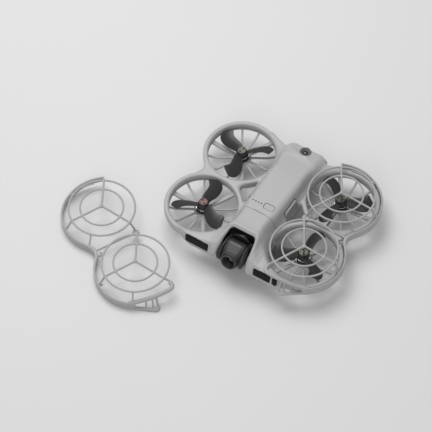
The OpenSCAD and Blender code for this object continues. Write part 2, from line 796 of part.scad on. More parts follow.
module rotor_bell(sx, sy)
    color([0.1, 0.1, 0.11])
        translate([sx * half_x, sy * half_y, 0]) {
            difference() {
                translate([0, 0, bell_foot]) cylinder(h = prop_foot - bell_foot, r = bell_r, $fn = 48);
                translate([0, 0, bell_foot - eps])
                    cylinder(h = prop_foot - bell_foot - bell_t + eps, r = core_r + fit_gap, $fn = 48);
            }
            translate([0, 0, hub_top - 0.6]) cylinder(h = cap_foot - hub_top + 0.6, r = shaft_r, $fn = 32);
        }

// Outline of one blade along +X: narrow root, widest near the tip, with the
// notch behind its trailing edge
// paddle blade in shares of the radius and of the chord: bowed leading edge,
// slanted tip, and a trailing corner that swells out before it
module blade_outline(hand)
    mirror([0, hand < 0 ? 1 : 0])
        scale([prop_r, blade_chord])
            polygon([
                [0.108, -0.28], [0.216, -0.415], [0.306, -0.55], [0.414, -0.69], [0.54, -0.8],
                [0.667, -0.86], [0.775, -0.86], [0.865, -0.79], [0.93, -0.68], [0.966, -0.53],
                [0.984, -0.36], [0.98, -0.19], [0.959, -0.04], [0.923, 0.094], [0.886, 0.217],
                [0.858, 0.34], [0.825, 0.415], [0.789, 0.406], [0.75, 0.31], [0.7, 0.198],
                [0.63, 0.142], [0.522, 0.16], [0.414, 0.217], [0.306, 0.274], [0.216, 0.3],
                [0.108, 0.283]]);

module propeller(sx, sy, turn, hand)
    color([0.2, 0.2, 0.21])
        translate([sx * half_x, sy * half_y, 0]) rotate([0, 0, turn])
            difference() {
                union() {
                    translate([0, 0, prop_foot]) cylinder(h = prop_hub_h, r = bell_r - 0.2, $fn = 48);
                    translate([0, 0, prop_foot]) cylinder(h = cap_foot - prop_foot, r = boss_r, $fn = 48);
                    for (i = [0:2])
                        rotate([0, 0, i * 120])
                            translate([0, 0, prop_foot + prop_hub_h]) rotate([hand * blade_pitch, 0, 0])
                                linear_extrude(blade_t, center = true) blade_outline(hand);
                }
                translate([0, 0, prop_foot - eps]) cylinder(h = 12, r = shaft_r + run_gap, $fn = 32);
                // the blades stand clear of the bell and of the cap
                translate([0, 0, prop_foot - 4]) cylinder(h = 4, r = bell_r + 0.2, $fn = 48);
                translate([0, 0, cap_foot]) cylinder(h = 4, r = cap_r + fit_gap, $fn = 48);
                screw_holes(0.02);
            }

module screw_holes(gap)
    rotate([0, 0, screw_turn])
        for (s = [-1, 1])
            translate([s * cap_screw_at, 0, cap_foot - 2])
                cylinder(h = 8, r = 0.5 + gap, $fn = 24);

module rotor_cap(sx, sy, turn)
    color([0.72, 0.7, 0.7])
        translate([sx * half_x, sy * half_y, 0]) rotate([0, 0, turn + screw_turn])
            difference() {
                union() {
                    translate([0, 0, cap_foot]) cylinder(h = cap_t - 0.4, r = cap_r, $fn = 48);
                    translate([0, 0, cap_top - 0.4]) cylinder(h = 0.4, r1 = cap_r, r2 = cap_r - 0.4, $fn = 48);
                }
                for (s = [-1, 1])
                    translate([s * cap_screw_at, 0, cap_foot - eps])
                        cylinder(h = 4, r = cap_screw_r + run_gap, $fn = 24);
            }

module cap_screws(sx, sy, turn)
    color([0.15, 0.15, 0.16])
        translate([sx * half_x, sy * half_y, 0]) rotate([0, 0, turn + screw_turn])
            for (s = [-1, 1])
                translate([s * cap_screw_at, 0, cap_foot - 1.6]) {
                    cylinder(h = 2, r = 0.5, $fn = 24);
                    translate([0, 0, 1.62]) cylinder(h = cap_t - 0.4, r = cap_screw_r, $fn = 24);
                }

// ---------- guards ----------

// One cage of a guard: two rings, a raised hub and three spokes. `ends` gives,
// for each spoke, its angle and the point where it meets the skirt.
module guard_cage(ends) {
    for (ring = [[outer_ring_r, 0], [inner_ring_r, hub_rise * (1 - inner_ring_r / outer_ring_r)]])
        translate([0, 0, ring_z + ring[1] - 0.1])
            rotate([0, 0, 17]) rotate_extrude($fn = 96)
                polygon([for (a = [22.5:45:337.5]) [ring[0] + wire_r * cos(a), wire_r * sin(a)]]);
    translate([0, 0, ring_z + hub_rise - wire_r]) cylinder(h = 1.9 * wire_r, r = 1.5, $fn = 32);
    for (e = ends) {
        ring_point = [outer_ring_r * cos(e[0]), outer_ring_r * sin(e[0]), ring_z];
        rod([0, 0, ring_z + hub_rise], ring_point, wire_r * 0.9);
        rod(ring_point, e[1], wire_r * 0.9);
    }
}

// Part of a turned band about a duct, from angle a0 to a1
module turned(a0, a1, profile)
    rotate([0, 0, a0])
        rotate_extrude(angle = a1 - a0, $fn = 96) polygon(profile);

// The guard of the +X side, in its place on the drone, about x = half_x
module guard_form() {
    wall_band = [[skirt_in, skirt_foot], [skirt_out, skirt_foot], [skirt_out, skirt_top], [skirt_in, skirt_top]];
    lip_band = [[lip_in, lip_z], [skirt_in + lap, lip_z], [skirt_in + lap, skirt_top - lap / 2],
        [lip_in, skirt_top - lap / 2]];
    f = fillet_r(waist_apex, half_y, duct_r);
    hand_over = atan2(half_y, waist_apex + f);
    waist_wall = [[f - fit_gap - skirt_t - 0.05, skirt_foot - 0.05], [f - fit_gap + 0.05, skirt_foot - 0.05],
        [f - fit_gap + 0.05, lip_z - 0.05], [f - fit_gap + skirt_in - lip_in, lip_z - 0.05],
        [f - fit_gap + skirt_in - lip_in, skirt_top + 0.05], [f - fit_gap - skirt_t - 0.05, skirt_top + 0.05]];
    // along the rear duct, with the tail that rises behind it
    translate([0, half_y, 0]) {
        turned(-hand_over, 60, wall_band);
        turned(-hand_over, 104, lip_band);
        intersection() {
            turned(57, tail_turn, [[skirt_in + 0.05, skirt_foot - 1], [skirt_out - 0.05, skirt_foot - 1],
                [skirt_out - 0.05, ring_z], [skirt_in + 0.05, ring_z]]);
            rotate([90, 0, 0]) linear_extrude(4 * duct_r, center = true)
                polygon([[30, skirt_foot + 0.1], [skirt_in / 2, skirt_foot + 0.1], [-20, tail_top_z - 5.4],
                    [-20, tail_top_z], [skirt_in / 2, skirt_top + 0.1], [30, skirt_top + 0.1]]);
        }
    }
    // round the waist between the ducts
    translate([waist_apex + f, 0, 0])
        turned(88 + hand_over, 272 - hand_over, waist_wall);
    // along the front duct
    translate([0, -half_y, 0]) {
        turned(-74, hand_over, wall_band);
        turned(-80, hand_over, lip_band);
    }
    // cages
    translate([0, half_y, 0])
        guard_cage([
            [0, polar(0, spoke_out, skirt_top - 0.6)],
            [120, polar(tail_turn - 1, spoke_out, tail_top_z - 0.8)],
            [240, [-17.4, -half_y + 1.6, skirt_top + 0.2]]]);
    translate([0, -half_y, 0])
        guard_cage([
            [0, polar(0, spoke_out, skirt_top - 0.6)],
            [120, [-17.4, half_y - 1.6, skirt_top + 0.2]],
            [240, [-19.4, -29.8, plate_under(-19.4) + 0.7]]]);
    // short ties from the outer rings to the lip
    for (tie = [[half_y, 60], [half_y, -45], [-half_y, 47], [-half_y, -59]])
        translate([0, tie[0], 0])
            rod(polar(tie[1], outer_ring_r, ring_z), polar(tie[1], spoke_out, skirt_top - 0.6), wire_r * 0.8);
    // plate over the inner junction of the ducts, and its bar to the waist
    translate([0, 0, skirt_top - 0.5])
        linear_extrude(1.2)
            polygon([[-16.2, 4.6], [-20.2, 0], [-16.2, -4.6], [-13.4, 0]]);
    rod([-15, 0, skirt_top], [waist_apex + 1.2, 0, skirt_top - 0.7], wire_r);
    translate([0, -half_y, 0]) wing_plate();
    foot_cage();
}

// Underside of the wing plate at x, just over the frame's front wing
function plate_under(x) = rim_top + fit_gap + (x > -4 ? 4.6 - (x + 4) / 4 : 4.6 + (-4 - x) / 11);

function polar(a, r, z) = [r * cos(a), r * sin(a), z];

// Plate over the front wing, from the skirt to the inner spoke's end
module wing_plate()
    difference() {
        intersection() {
            linear_extrude(2 * rim_top)
                polygon([[15.5, -30.6], [14.2, -front_y + half_y + 0.6], [-16, -front_y + half_y + 0.2],
                    [-20.8, -front_y + half_y + 1.4], [-22, -34], [-20.4, -28.6], [-10, -28]]);
            rotate([90, 0, 0]) linear_extrude(90)
                polygon([for (x = [18, -4, -26]) [x, plate_under(x)],
                    for (x = [-26, -4, 18]) [x, plate_under(x) + 1.2]]);
        }
        translate([0, 0, rim_top - 4]) cylinder(h = 20, r = duct_r - 0.4, $fn = 96);
    }

// Slotted bumper below the plate's outer end
module foot_cage() {
    bar_z = skirt_foot + 0.8;
    tip = [1.2, -front_y - 3.6, bar_z];
    shoulder = [11.6, -half_y - 33.2, bar_z];
    rod(shoulder, tip, 0.8);
    rod(tip, [0.4, -front_y + 1, plate_under(0.4) + 0.6], 0.75);
    translate(tip - [0, 0, 0.9]) cylinder(h = 1.8, r = 1, $fn = 24);
    for (t = [0.3, 0.62])
        rod(tip + t * (shoulder - tip), [0.6 + 9 * t, -front_y + 1.1, plate_under(0.6 + 9 * t) + 0.6], 0.65);
}

module guard_right()
    color([0.68, 0.69, 0.7])
        translate([half_x, 0, 0]) guard_form();

module guard_left()
    color([0.68, 0.69, 0.7])
        translate([off_x, off_y, off_drop]) rotate([0, 0, off_turn]) mirror([1, 0, 0]) guard_form();

// ---------- output ----------

upper_frame();
lower_frame();
grille(-1, -1);  // grille_front_left
grille(1, -1);  // grille_front_right
grille(-1, 1);  // grille_rear_left
grille(1, 1);  // grille_rear_right
frame_screws();
front_window(1);  // front_window_left
front_window(0);  // front_window_right
rear_lens_housing();
rear_lens_glass();
belly_sensor_window();
usb_socket();
main_board();
heat_sink();
gnss_antenna();
battery_contacts();
roll_motor();
gimbal_yoke();
tilt_motor();
camera_housing();
lens_barrel();
lens_bezel();
lens_glass();
image_sensor();
battery_shell();
battery_cells();
battery_board();
led_lenses();
power_button();
battery_latch(1);  // battery_latch_left
battery_latch(0);  // battery_latch_right
motor_stator(-1, -1);  // motor_stator_front_left
motor_stator(1, -1);  // motor_stator_front_right
motor_stator(-1, 1);  // motor_stator_rear_left
motor_stator(1, 1);  // motor_stator_rear_right
rotor_bell(-1, -1);  // rotor_bell_front_left
rotor_bell(1, -1);  // rotor_bell_front_right
rotor_bell(-1, 1);  // rotor_bell_rear_left
rotor_bell(1, 1);  // rotor_bell_rear_right
propeller(-1, -1, fl_turn, 1);  // propeller_front_left
propeller(1, -1, 180 - fl_turn, -1);  // propeller_front_right
propeller(-1, 1, rl_turn, -1);  // propeller_rear_left
propeller(1, 1, 180 - rl_turn, 1);  // propeller_rear_right
rotor_cap(-1, -1, fl_turn);  // rotor_cap_front_left
rotor_cap(1, -1, 180 - fl_turn);  // rotor_cap_front_right
rotor_cap(-1, 1, rl_turn);  // rotor_cap_rear_left
rotor_cap(1, 1, 180 - rl_turn);  // rotor_cap_rear_right
cap_screws(-1, -1, fl_turn);  // cap_screws_front_left
cap_screws(1, -1, 180 - fl_turn);  // cap_screws_front_right
cap_screws(-1, 1, rl_turn);  // cap_screws_rear_left
cap_screws(1, 1, 180 - rl_turn);  // cap_screws_rear_right
guard_right();
guard_left();
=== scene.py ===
# Looks of a palm-size ducted camera drone. Lengths in the settings are in millimetres.
import math

import bpy
import numpy as np
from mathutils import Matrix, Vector


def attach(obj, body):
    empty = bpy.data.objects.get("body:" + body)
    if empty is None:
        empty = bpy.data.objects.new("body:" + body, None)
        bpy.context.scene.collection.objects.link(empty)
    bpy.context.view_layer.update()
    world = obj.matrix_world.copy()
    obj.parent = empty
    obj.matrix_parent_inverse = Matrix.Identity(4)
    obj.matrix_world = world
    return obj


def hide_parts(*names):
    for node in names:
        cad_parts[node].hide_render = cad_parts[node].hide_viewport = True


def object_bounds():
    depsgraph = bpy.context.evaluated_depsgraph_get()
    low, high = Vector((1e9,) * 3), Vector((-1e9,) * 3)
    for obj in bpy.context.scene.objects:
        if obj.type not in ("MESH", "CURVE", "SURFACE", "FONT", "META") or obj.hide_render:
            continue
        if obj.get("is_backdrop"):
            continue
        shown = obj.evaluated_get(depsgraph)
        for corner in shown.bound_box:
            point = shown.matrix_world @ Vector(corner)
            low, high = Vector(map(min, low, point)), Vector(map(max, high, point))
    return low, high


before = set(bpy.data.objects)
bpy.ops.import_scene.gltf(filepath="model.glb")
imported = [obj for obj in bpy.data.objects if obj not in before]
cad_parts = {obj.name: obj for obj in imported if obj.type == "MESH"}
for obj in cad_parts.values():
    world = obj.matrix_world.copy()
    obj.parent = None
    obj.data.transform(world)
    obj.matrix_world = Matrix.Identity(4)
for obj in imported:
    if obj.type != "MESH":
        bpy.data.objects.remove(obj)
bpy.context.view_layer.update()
print("frame loaded:", len(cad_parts), "nodes")

mm = 0.001
coarse = 1.0

# camera

view = {"aim": (-32.863, -39.542, 27.5), "azimuth": 31.453, "elevation": 55.987, "distance": 1771.3,
        "lens": 171.99, "sensor": 36, "near": 50, "far": 50000}


def makeCamera():
    data = bpy.data.cameras.new("camera")
    data.lens, data.sensor_width = view["lens"], view["sensor"]
    data.clip_start, data.clip_end = view["near"] * mm, view["far"] * mm
    camera = bpy.data.objects.new("camera", data)
    bpy.context.scene.collection.objects.link(camera)
    turn, lift = math.radians(view["azimuth"]), math.radians(view["elevation"])
    back = Vector((math.sin(turn) * math.cos(lift), -math.cos(turn) * math.cos(lift), math.sin(lift)))
    camera.location = Vector(view["aim"]) * mm + back * view["distance"] * mm
    camera.rotation_mode = "QUATERNION"
    camera.rotation_quaternion = (-back).to_track_quat("-Z", "Y")
    bpy.context.scene.camera = camera


makeCamera()

# node sheets


class Wire:
    # a socket that adds its own Math nodes
    def __init__(self, sheet, socket):
        self.sheet, self.socket = sheet, socket

    def calc(self, operation, other, swap=False):
        first, second = (other, self) if swap else (self, other)
        return self.sheet.node("ShaderNodeMath", {"operation": operation}, {0: first, 1: second})

    def __add__(self, other):
        return self.calc("ADD", other)

    def __sub__(self, other):
        return self.calc("SUBTRACT", other)

    def __rsub__(self, other):
        return self.calc("SUBTRACT", other, True)

    def __mul__(self, other):
        return self.calc("MULTIPLY", other)

    __radd__, __rmul__ = __add__, __mul__


class Finish:
    def __init__(self, name):
        self.material = bpy.data.materials.new(name)
        self.material.use_nodes = True
        self.tree = self.material.node_tree
        self.shader = self.tree.nodes["Principled BSDF"]

    def node(self, kind, settings=None, inputs=None, out=0):
        made = self.tree.nodes.new(kind)
        for key, value in (settings or {}).items():
            setattr(made, key, value)
        for key, value in (inputs or {}).items():
            self.feed(made.inputs[key], value)
        return Wire(self, made.outputs[out])

    def feed(self, socket, value):
        if isinstance(value, Wire):
            self.tree.links.new(value.socket, socket)
        elif hasattr(value, "__len__") and len(value) == 3 and socket.type == "RGBA":
            socket.default_value = (*value, 1)
        else:
            socket.default_value = value

    def set(self, **values):
        for key, value in values.items():
            self.feed(self.shader.inputs[key.replace("_", " ")], value)
        return self.material

    def place(self):
        return self.node("ShaderNodeTexCoord", out="Object")

    def noise(self, scale, detail=2.0, rough=0.5):
        inputs = {"Vector": self.place(), "Scale": scale, "Detail": detail, "Roughness": rough}
        return self.node("ShaderNodeTexNoise", None, inputs, "Fac")

    def shade(self, fac, dark, light):
        return self.node("ShaderNodeMix", {"data_type": "RGBA"},
                         {"Factor": fac, 6: (*dark, 1), 7: (*light, 1)}, 2)

    def bump(self, height, strength, reach):
        inputs = {"Strength": strength, "Distance": reach, "Height": height}
        return self.node("ShaderNodeBump", None, inputs, "Normal")


def tint(colour, share):
    return tuple(min(1.0, c * share) for c in colour)


# noise scales of slow drift and fine grain, and the grain's depth in metres and strength
plasticGrain = {"drift": 28, "fine": 2600, "depth": 0.00012, "strength": 0.16}
metalGrain = {"drift": 300, "fine": 4200, "depth": 0.00008, "strength": 0.05}
glossDrift = 160


def plastic(name, colour, rough=0.45, vary=0.05):
    # moulded plastic: fine spark-eroded grain, slow drift of shade and gloss
    s = plasticGrain
    f = Finish(name)
    drift = f.noise(s["drift"], 3)
    fine = f.noise(s["fine"], 2, rough=0.6)
    base = f.shade(drift, tint(colour, 1 - vary), tint(colour, 1 + vary))
    shine = (fine - 0.5) * 0.12 + (drift - 0.5) * 0.1 + rough
    return f.set(Base_Color=base, Roughness=shine, Specular_IOR_Level=0.5,
                 Normal=f.bump(fine, s["strength"], s["depth"]))


def metal(name, colour, rough=0.28, vary=0.05):
    # turned or sheet metal with a slight drift of shade
    s = metalGrain
    f = Finish(name)
    drift = f.noise(s["drift"], 2)
    fine = f.noise(s["fine"], 1)
    base = f.shade(drift, tint(colour, 1 - vary), tint(colour, 1 + vary))
    return f.set(Base_Color=base, Metallic=1.0, Roughness=(fine - 0.5) * 0.16 + rough,
                 Normal=f.bump(fine, s["strength"], s["depth"]))


def gloss(name, colour, rough=0.08, coat=0.6, sheen=0.5):
    # lacquer and glass, with a clear coat
    f = Finish(name)
    drift = f.noise(glossDrift, 2)
    return f.set(Base_Color=f.shade(drift, tint(colour, 0.85), tint(colour, 1.15)),
                 Roughness=(drift - 0.5) * 0.05 + rough, Specular_IOR_Level=sheen, Coat_Weight=coat,
                 Coat_Roughness=0.05)


finishes = {
    "body": plastic("body_plastic", (0.47, 0.47, 0.475), 0.42, vary=0.03),
    "battery": plastic("battery_plastic", (0.48, 0.48, 0.487), 0.42, vary=0.03),
    "grille": plastic("grille_plastic", (0.4, 0.4, 0.405), 0.45),
    "belly": plastic("belly_plastic", (0.36, 0.36, 0.365), 0.5),
    "guard": plastic("guard_plastic", (0.42, 0.42, 0.425), 0.4, vary=0.03),
    "button": plastic("button_plastic", (0.46, 0.46, 0.465), 0.4),
    "latch": plastic("latch_plastic", (0.36, 0.36, 0.365), 0.5),
    "propeller": plastic("propeller_plastic", (0.03, 0.03, 0.031), 0.34),
    "gimbal": plastic("gimbal_black", (0.028, 0.028, 0.029), 0.34),
    # near-black sheet of painted shade, for the camera bay's walls and the lens dish
    "liner": plastic("liner_black", (0.008, 0.008, 0.0085), 0.5),
    "camera": plastic("camera_black", (0.022, 0.022, 0.0225), 0.42),
    # painted highlight: paler copy of the camera's black for its lit top
    "cameraTop": plastic("camera_top", (0.055, 0.055, 0.056), 0.36),
    # bezel: its own black plastic raised towards the lit tone of its lip, partly painted light
    "bezel": plastic("bezel_black", (0.075, 0.075, 0.077), 0.32),
    # painted shade: darker grey for the fine ridge lines beside the camera
    "seam": plastic("seam_grey", (0.22, 0.22, 0.223), 0.5),
    "bell": metal("bell_black", (0.06, 0.06, 0.065), 0.35),
    "stator": metal("stator_steel", (0.62, 0.62, 0.63), 0.3),
    "capWarm": metal("cap_warm", (0.075, 0.05, 0.047), 0.22),
    "capGrey": metal("cap_grey", (0.1, 0.095, 0.082), 0.26),
    "screw": metal("screw_dark", (0.12, 0.12, 0.125), 0.35),
    "window": gloss("window_black", (0.003, 0.003, 0.0034), 0.2, 0.0, 0.06),
    "lens": gloss("lens_black", (0.01, 0.01, 0.014), 0.04, 1.0),
    "lensRing": plastic("lens_ring", (0.12, 0.12, 0.122), 0.3),
    "socket": metal("socket_steel", (0.6, 0.6, 0.62), 0.3),
    "board": gloss("board_green", (0.03, 0.12, 0.07), 0.4, 0.3),
    "sink": metal("sink_metal", (0.7, 0.71, 0.72), 0.4),
    "ceramic": plastic("antenna_ceramic", (0.62, 0.57, 0.46), 0.5),
    "contact": metal("contact_gilt", (0.8, 0.62, 0.26), 0.25),
    "cell": plastic("cell_wrap", (0.2, 0.22, 0.25), 0.3),
    "led": gloss("led_smoke", (0.09, 0.09, 0.092), 0.3, 0.2),
}
print("finishes ready")

# shapes from distance fields


def smin(a, b, k):
    h = np.clip(0.5 + 0.5 * (b - a) / k, 0, 1)
    return b * (1 - h) + a * h - k * h * (1 - h)


def smax(a, b, k):
    return -smin(-a, -b, k)


def slab(v, low, high):
    return np.abs(v - (low + high) / 2) - (high - low) / 2


def roundBox(x, y, z, centre, half, r):
    q = [np.abs(v - c) - h + r for v, c, h in zip((x, y, z), centre, half)]
    out = np.sqrt(sum(np.maximum(v, 0) ** 2 for v in q))
    return out + np.minimum(np.maximum(np.maximum(q[0], q[1]), q[2]), 0) - r


def extruded(plan, height, r):
    # plan distance and distance beyond the faces, with edges rounded by r
    a, b = plan + r, height + r
    return np.minimum(np.maximum(a, b), 0) + np.sqrt(np.maximum(a, 0) ** 2 + np.maximum(b, 0) ** 2) - r


def cappedTube(across, along, radius, low, high, r):
    return extruded(across - radius, slab(along, low, high), r)


def bar(x, y, z, p, q, r):
    p, q = np.array(p, float), np.array(q, float)
    d = q - p
    t = np.clip(((x - p[0]) * d[0] + (y - p[1]) * d[1] + (z - p[2]) * d[2]) / (d @ d), 0, 1)
    dx, dy, dz = x - p[0] - t * d[0], y - p[1] - t * d[1], z - p[2] - t * d[2]
    return np.sqrt(dx ** 2 + dy ** 2 + dz ** 2) - r


def joined(parts, k):
    whole = parts[0]
    for part in parts[1:]:
        whole = smin(whole, part, k)
    return whole


# how vertices settle: rounds, probe and longest move in steps, and the least slope squared
settle = {"rounds": 3, "probe": 0.08, "stride": 0.4, "slope": 0.05}


def skin(field, low, high, step):
    # surface net over the field's zero level, each vertex then pulled onto it
    step = step * coarse
    axes = [np.arange(a - step, b + 2 * step, step) for a, b in zip(low, high)]
    grid = np.meshgrid(*axes, indexing="ij", sparse=True)
    shape = tuple(len(a) for a in axes)
    value = np.ascontiguousarray(np.broadcast_to(field(*grid), shape)).astype(np.float32)
    inside = value < 0
    corners = [(i, j, k) for i in (0, 1) for j in (0, 1) for k in (0, 1)]
    cells = tuple(n - 1 for n in shape)

    def part(data, c):
        return data[c[0]:c[0] + cells[0], c[1]:c[1] + cells[1], c[2]:c[2] + cells[2]]

    count = sum(part(inside, c).astype(np.int8) for c in corners)
    active = (count > 0) & (count < 8)
    at = np.argwhere(active)
    number = np.full(cells, -1, np.int32)
    number[active] = np.arange(len(at))
    total = np.zeros((len(at), 3))
    hits = np.zeros(len(at))
    pick = tuple(at.T)
    for c in corners:
        for axis in range(3):
            if c[axis]:
                continue
            d = list(c)
            d[axis] = 1
            a, b = part(value, c)[pick], part(value, d)[pick]
            cross = (a < 0) != (b < 0)
            share = np.where(cross, a / np.where(cross, a - b, 1), 0)
            point = np.tile(np.array(c, float), (len(at), 1))
            point[:, axis] += share
            total += point * cross[:, None]
            hits += cross
    points = (at + total / hits[:, None]) * step + np.array([a[0] for a in axes])
    faces = []
    for axis in range(3):
        u, v = (axis + 1) % 3, (axis + 2) % 3
        lowEnd = [slice(1, n - 1) for n in shape]
        highEnd = list(lowEnd)
        lowEnd[axis], highEnd[axis] = slice(0, shape[axis] - 1), slice(1, shape[axis])
        a, b = inside[tuple(lowEnd)], inside[tuple(highEnd)]
        for flip, where in ((False, a & ~b), (True, ~a & b)):
            e = np.argwhere(where)
            base = e + 1
            base[:, axis] -= 1
            ring = []
            for du, dv in ((1, 1), (0, 1), (0, 0), (1, 0)):
                cell = base.copy()
                cell[:, u] -= du
                cell[:, v] -= dv
                ring.append(number[tuple(cell.T)])
            faces.append(np.stack(ring[::-1] if flip else ring, 1))
    faces = np.concatenate(faces)
    faces = faces[(faces >= 0).all(1)]
    probe = settle["probe"] * step
    for _ in range(settle["rounds"]):
        here = field(*points.T)
        slope = [(field(*(points + d).T) - field(*(points - d).T)) / (2 * probe) for d in probe * np.eye(3)]
        slope = np.stack(slope, 1)
        length = np.maximum((slope ** 2).sum(1), settle["slope"])
        move = -(here / length)[:, None] * slope
        size = np.maximum(np.linalg.norm(move, axis=1), 1e-9)
        points = points + move * np.minimum(1, settle["stride"] * step / size)[:, None]
    return points, faces


def addMesh(name, points, faces, finish, body, replaces=()):
    mesh = bpy.data.meshes.new(name)
    sides = faces.shape[1]
    mesh.vertices.add(len(points))
    mesh.vertices.foreach_set("co", (points * mm).astype(np.float32).ravel())
    mesh.loops.add(faces.size)
    mesh.loops.foreach_set("vertex_index", faces.astype(np.int32).ravel())
    mesh.polygons.add(len(faces))
    mesh.polygons.foreach_set("loop_start", np.arange(0, faces.size, sides, dtype=np.int32))
    mesh.polygons.foreach_set("loop_total", np.full(len(faces), sides, np.int32))
    mesh.update(calc_edges=True)
    mesh.validate()
    mesh.polygons.foreach_set("use_smooth", np.full(len(mesh.polygons), True))
    mesh.materials.append(finishes[finish])
    piece = bpy.data.objects.new(name, mesh)
    bpy.context.scene.collection.objects.link(piece)
    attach(piece, body)
    if replaces:
        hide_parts(*replaces)


def skinPiece(name, field, low, high, step, finish, body, replaces=()):
    points, faces = skin(field, low, high, step)
    print(name, len(points), "points")
    addMesh(name, points, faces, finish, body, replaces)


# upper frame, battery cover and belly

frameForm = {
    "halfX": 50, "halfY": 32.2, "duct": 34.2, "bore": 29.8, "foot": 18.3, "rim": 24.55, "rimRound": 1.9,
    "lean": 0.48, "bodyHalf": 18.5, "sideLean": 0.28, "nose": 41.2, "fall": 0.061, "rearFall": 0.217,
    "tail": 63, "seam": -23.6, "rearSeam": 48.2, "waist": 24.4,
    "bayHalf": 16.6, "bayTail": 46.8, "bayFloor": 15, "split": 13, "front": -70.2, "skirt": 17.4,
    "web": ([42, 58], [10.8, 16.5]), "lapY": [-20, -12], "seamGap": 0.1, "lap": 0.9, "proud": 0.07,
}
latchForm = {"y": 0.5, "z": 23.9, "flatY": 6.7, "flatZ": 4.1, "round": 2.6, "inner": 16.8, "outer": 18.95,
             "ribFoot": 18.6, "ribs": 1.6, "gap": 0.3, "travel": 1.2, "stem": 1.5, "stemEnd": 13.1,
             "stemTop": 17}
buttonForm = {"x": 5.3, "y": -15.0, "z": 38.9, "halfX": 4.75, "halfY": 2.95, "round": 2.1, "gap": 0.3,
              "foot": -1.65, "top": 0.15, "well": 4.4}
lightForm = {"across": [-10.5, -7.8, -5.1, -2.4], "y": -15.0, "radius": 0.6, "hole": 0.7, "foot": 30.7,
             "top": 38.95}
windowForm = {"spans": [(-45.2, -22.3), (22.3, 39), (40.6, 45.2)], "z": 24.3, "y": -70, "gap": 0.2,
              "slot": {"depth": 1.7, "rise": 4.6, "r": 1.9}, "pane": {"depth": 0.9, "rise": 4.4, "r": 1.7}}
rearLensForm = {"y": 57, "hole": 5.05, "ring": 4.95, "foot": 20.5, "top": 31.4, "step": 4.0, "glass": 2.2}


def ductSide(x, y):
    # distance from the nearest motor's axis
    return np.hypot(np.abs(x) - frameForm["halfX"], np.abs(y) - frameForm["halfY"])


def wingCorner(ax, y):
    # slanted outer corner of the front wings
    return ((ax - 45) * 22 - (y + 70) * 35) / 41.34


def shoulderTail(ax, y):
    # swept rear edge of the shoulders
    return (y - 57.3 - 0.386 * (ax - 20)) / 1.072


def deckPlan(x, y):
    s = frameForm
    ax = np.abs(x)
    front = np.hypot(ax - s["halfX"], y + s["halfY"]) - s["duct"]
    rear = np.hypot(ax - s["halfX"], y - s["halfY"]) - s["duct"]
    plan = smin(front, rear, np.interp(ax, *s["web"]))
    trunk = np.maximum(ax - s["bodyHalf"], slab(y, -60, 61.5))
    wing = smax(smax(s["front"] - y, wingCorner(ax, y), 4), np.maximum(y + 34, ax - 56), 2)
    shoulder = np.maximum(np.maximum(shoulderTail(ax, y), ax - 36), 30 - y)
    plan = smin(plan, trunk, 7)
    plan = smin(plan, wing, 2)
    return smin(plan, shoulder, 1.5)


def trunkField(x, y, z):
    s = frameForm
    side = (np.abs(x) - s["bodyHalf"] + s["sideLean"] * np.maximum(z - s["waist"], 0)) / 1.038
    top = smax(z - s["nose"] + s["fall"] * (y + 47), (z - 36.1 + s["rearFall"] * (y - 34)) / 1.023, 3)
    trunk = smax(side, top, 5)
    return smax(trunk, y - s["tail"], 4)


# front wings: heights of the top across and along, and the front face's place
wingForm = {
    "across": ([0, 11, 14, 17, 20, 24, 35, 46, 55, 62, 75, 90],
               [41.5, 41.2, 39.2, 35.0, 32.6, 31.0, 29.9, 28.7, 26.4, 25.0, 24.0, 23.8]),
    "prong": ([-80, -73, -71.4, -69, -66, -60, -49, -30], [12, 19.5, 24.5, 28.4, 31.8, 35.8, 40.9, 46]),
    "along": ([-80, -70, -67, -49, -30], [26.5, 29.8, 31.6, 40.9, 47]),
    "face": ([0, 14, 16, 18, 20, 23, 60], [-71.2, -71.6, -72.9, -72.9, -71.4, -70.2, -70.2]),
    "ledge": 0.45, "ledgeY": -66.3, "ledgeX": (18.5, 33), "end": 60,
}
shoulderForm = {"rise": ([0, 14, 20, 27, 34, 50], [34, 31, 27.6, 25.8, 24.6, 23.6]), "end": 38}


def wingField(x, y, z):
    s = wingForm
    ax = np.abs(x)
    top = (z - np.interp(ax, *s["across"])) * 0.85
    share = np.clip((ax - 19) / 4, 0, 1)
    along = np.interp(y, *s["prong"]) * (1 - share) + np.interp(y, *s["along"]) * share
    near, far = s["ledgeX"]
    ledge = s["ledge"] * np.clip((s["ledgeY"] - y) / 0.5, 0, 1)
    ledge = ledge * np.clip((far - ax) / 3, 0, 1) * np.clip((ax - near) / 2, 0, 1)
    top = smax(top, (z - along + ledge) * 0.85, 2.5)
    face = smax(np.interp(ax, *s["face"]) - y + 0.1 * (z - 20), wingCorner(ax, y), 4)
    wing = smax(top, face, 1.4)
    wing = smax(wing, (z - 24.2 + 0.9 * (y + 27)) / 1.35, 4)
    return smax(smax(wing, ax - s["end"], 4), frameForm["skirt"] - z, np.interp(ax, [18, 24], [3.0, 1.2]))


def shoulderField(x, y, z):
    ax = np.abs(x)
    rise = np.interp(ax, *shoulderForm["rise"])
    plan = np.maximum(shoulderTail(ax, y), ax - shoulderForm["end"])
    rise = np.minimum(rise, 24.2 + 0.5 * (y - 32))
    return smax(smax(plan, (z - rise) * 0.85, 2), frameForm["skirt"] - z, 1)


def coverPlan(x, y):
    # the battery cover's outline: bowed front seam and rounded rear corners
    s = frameForm
    front = s["seam"] - 0.006 * x * x - y
    return smax(smax(front, y - s["rearSeam"], 1), np.abs(x) - 22, 12)


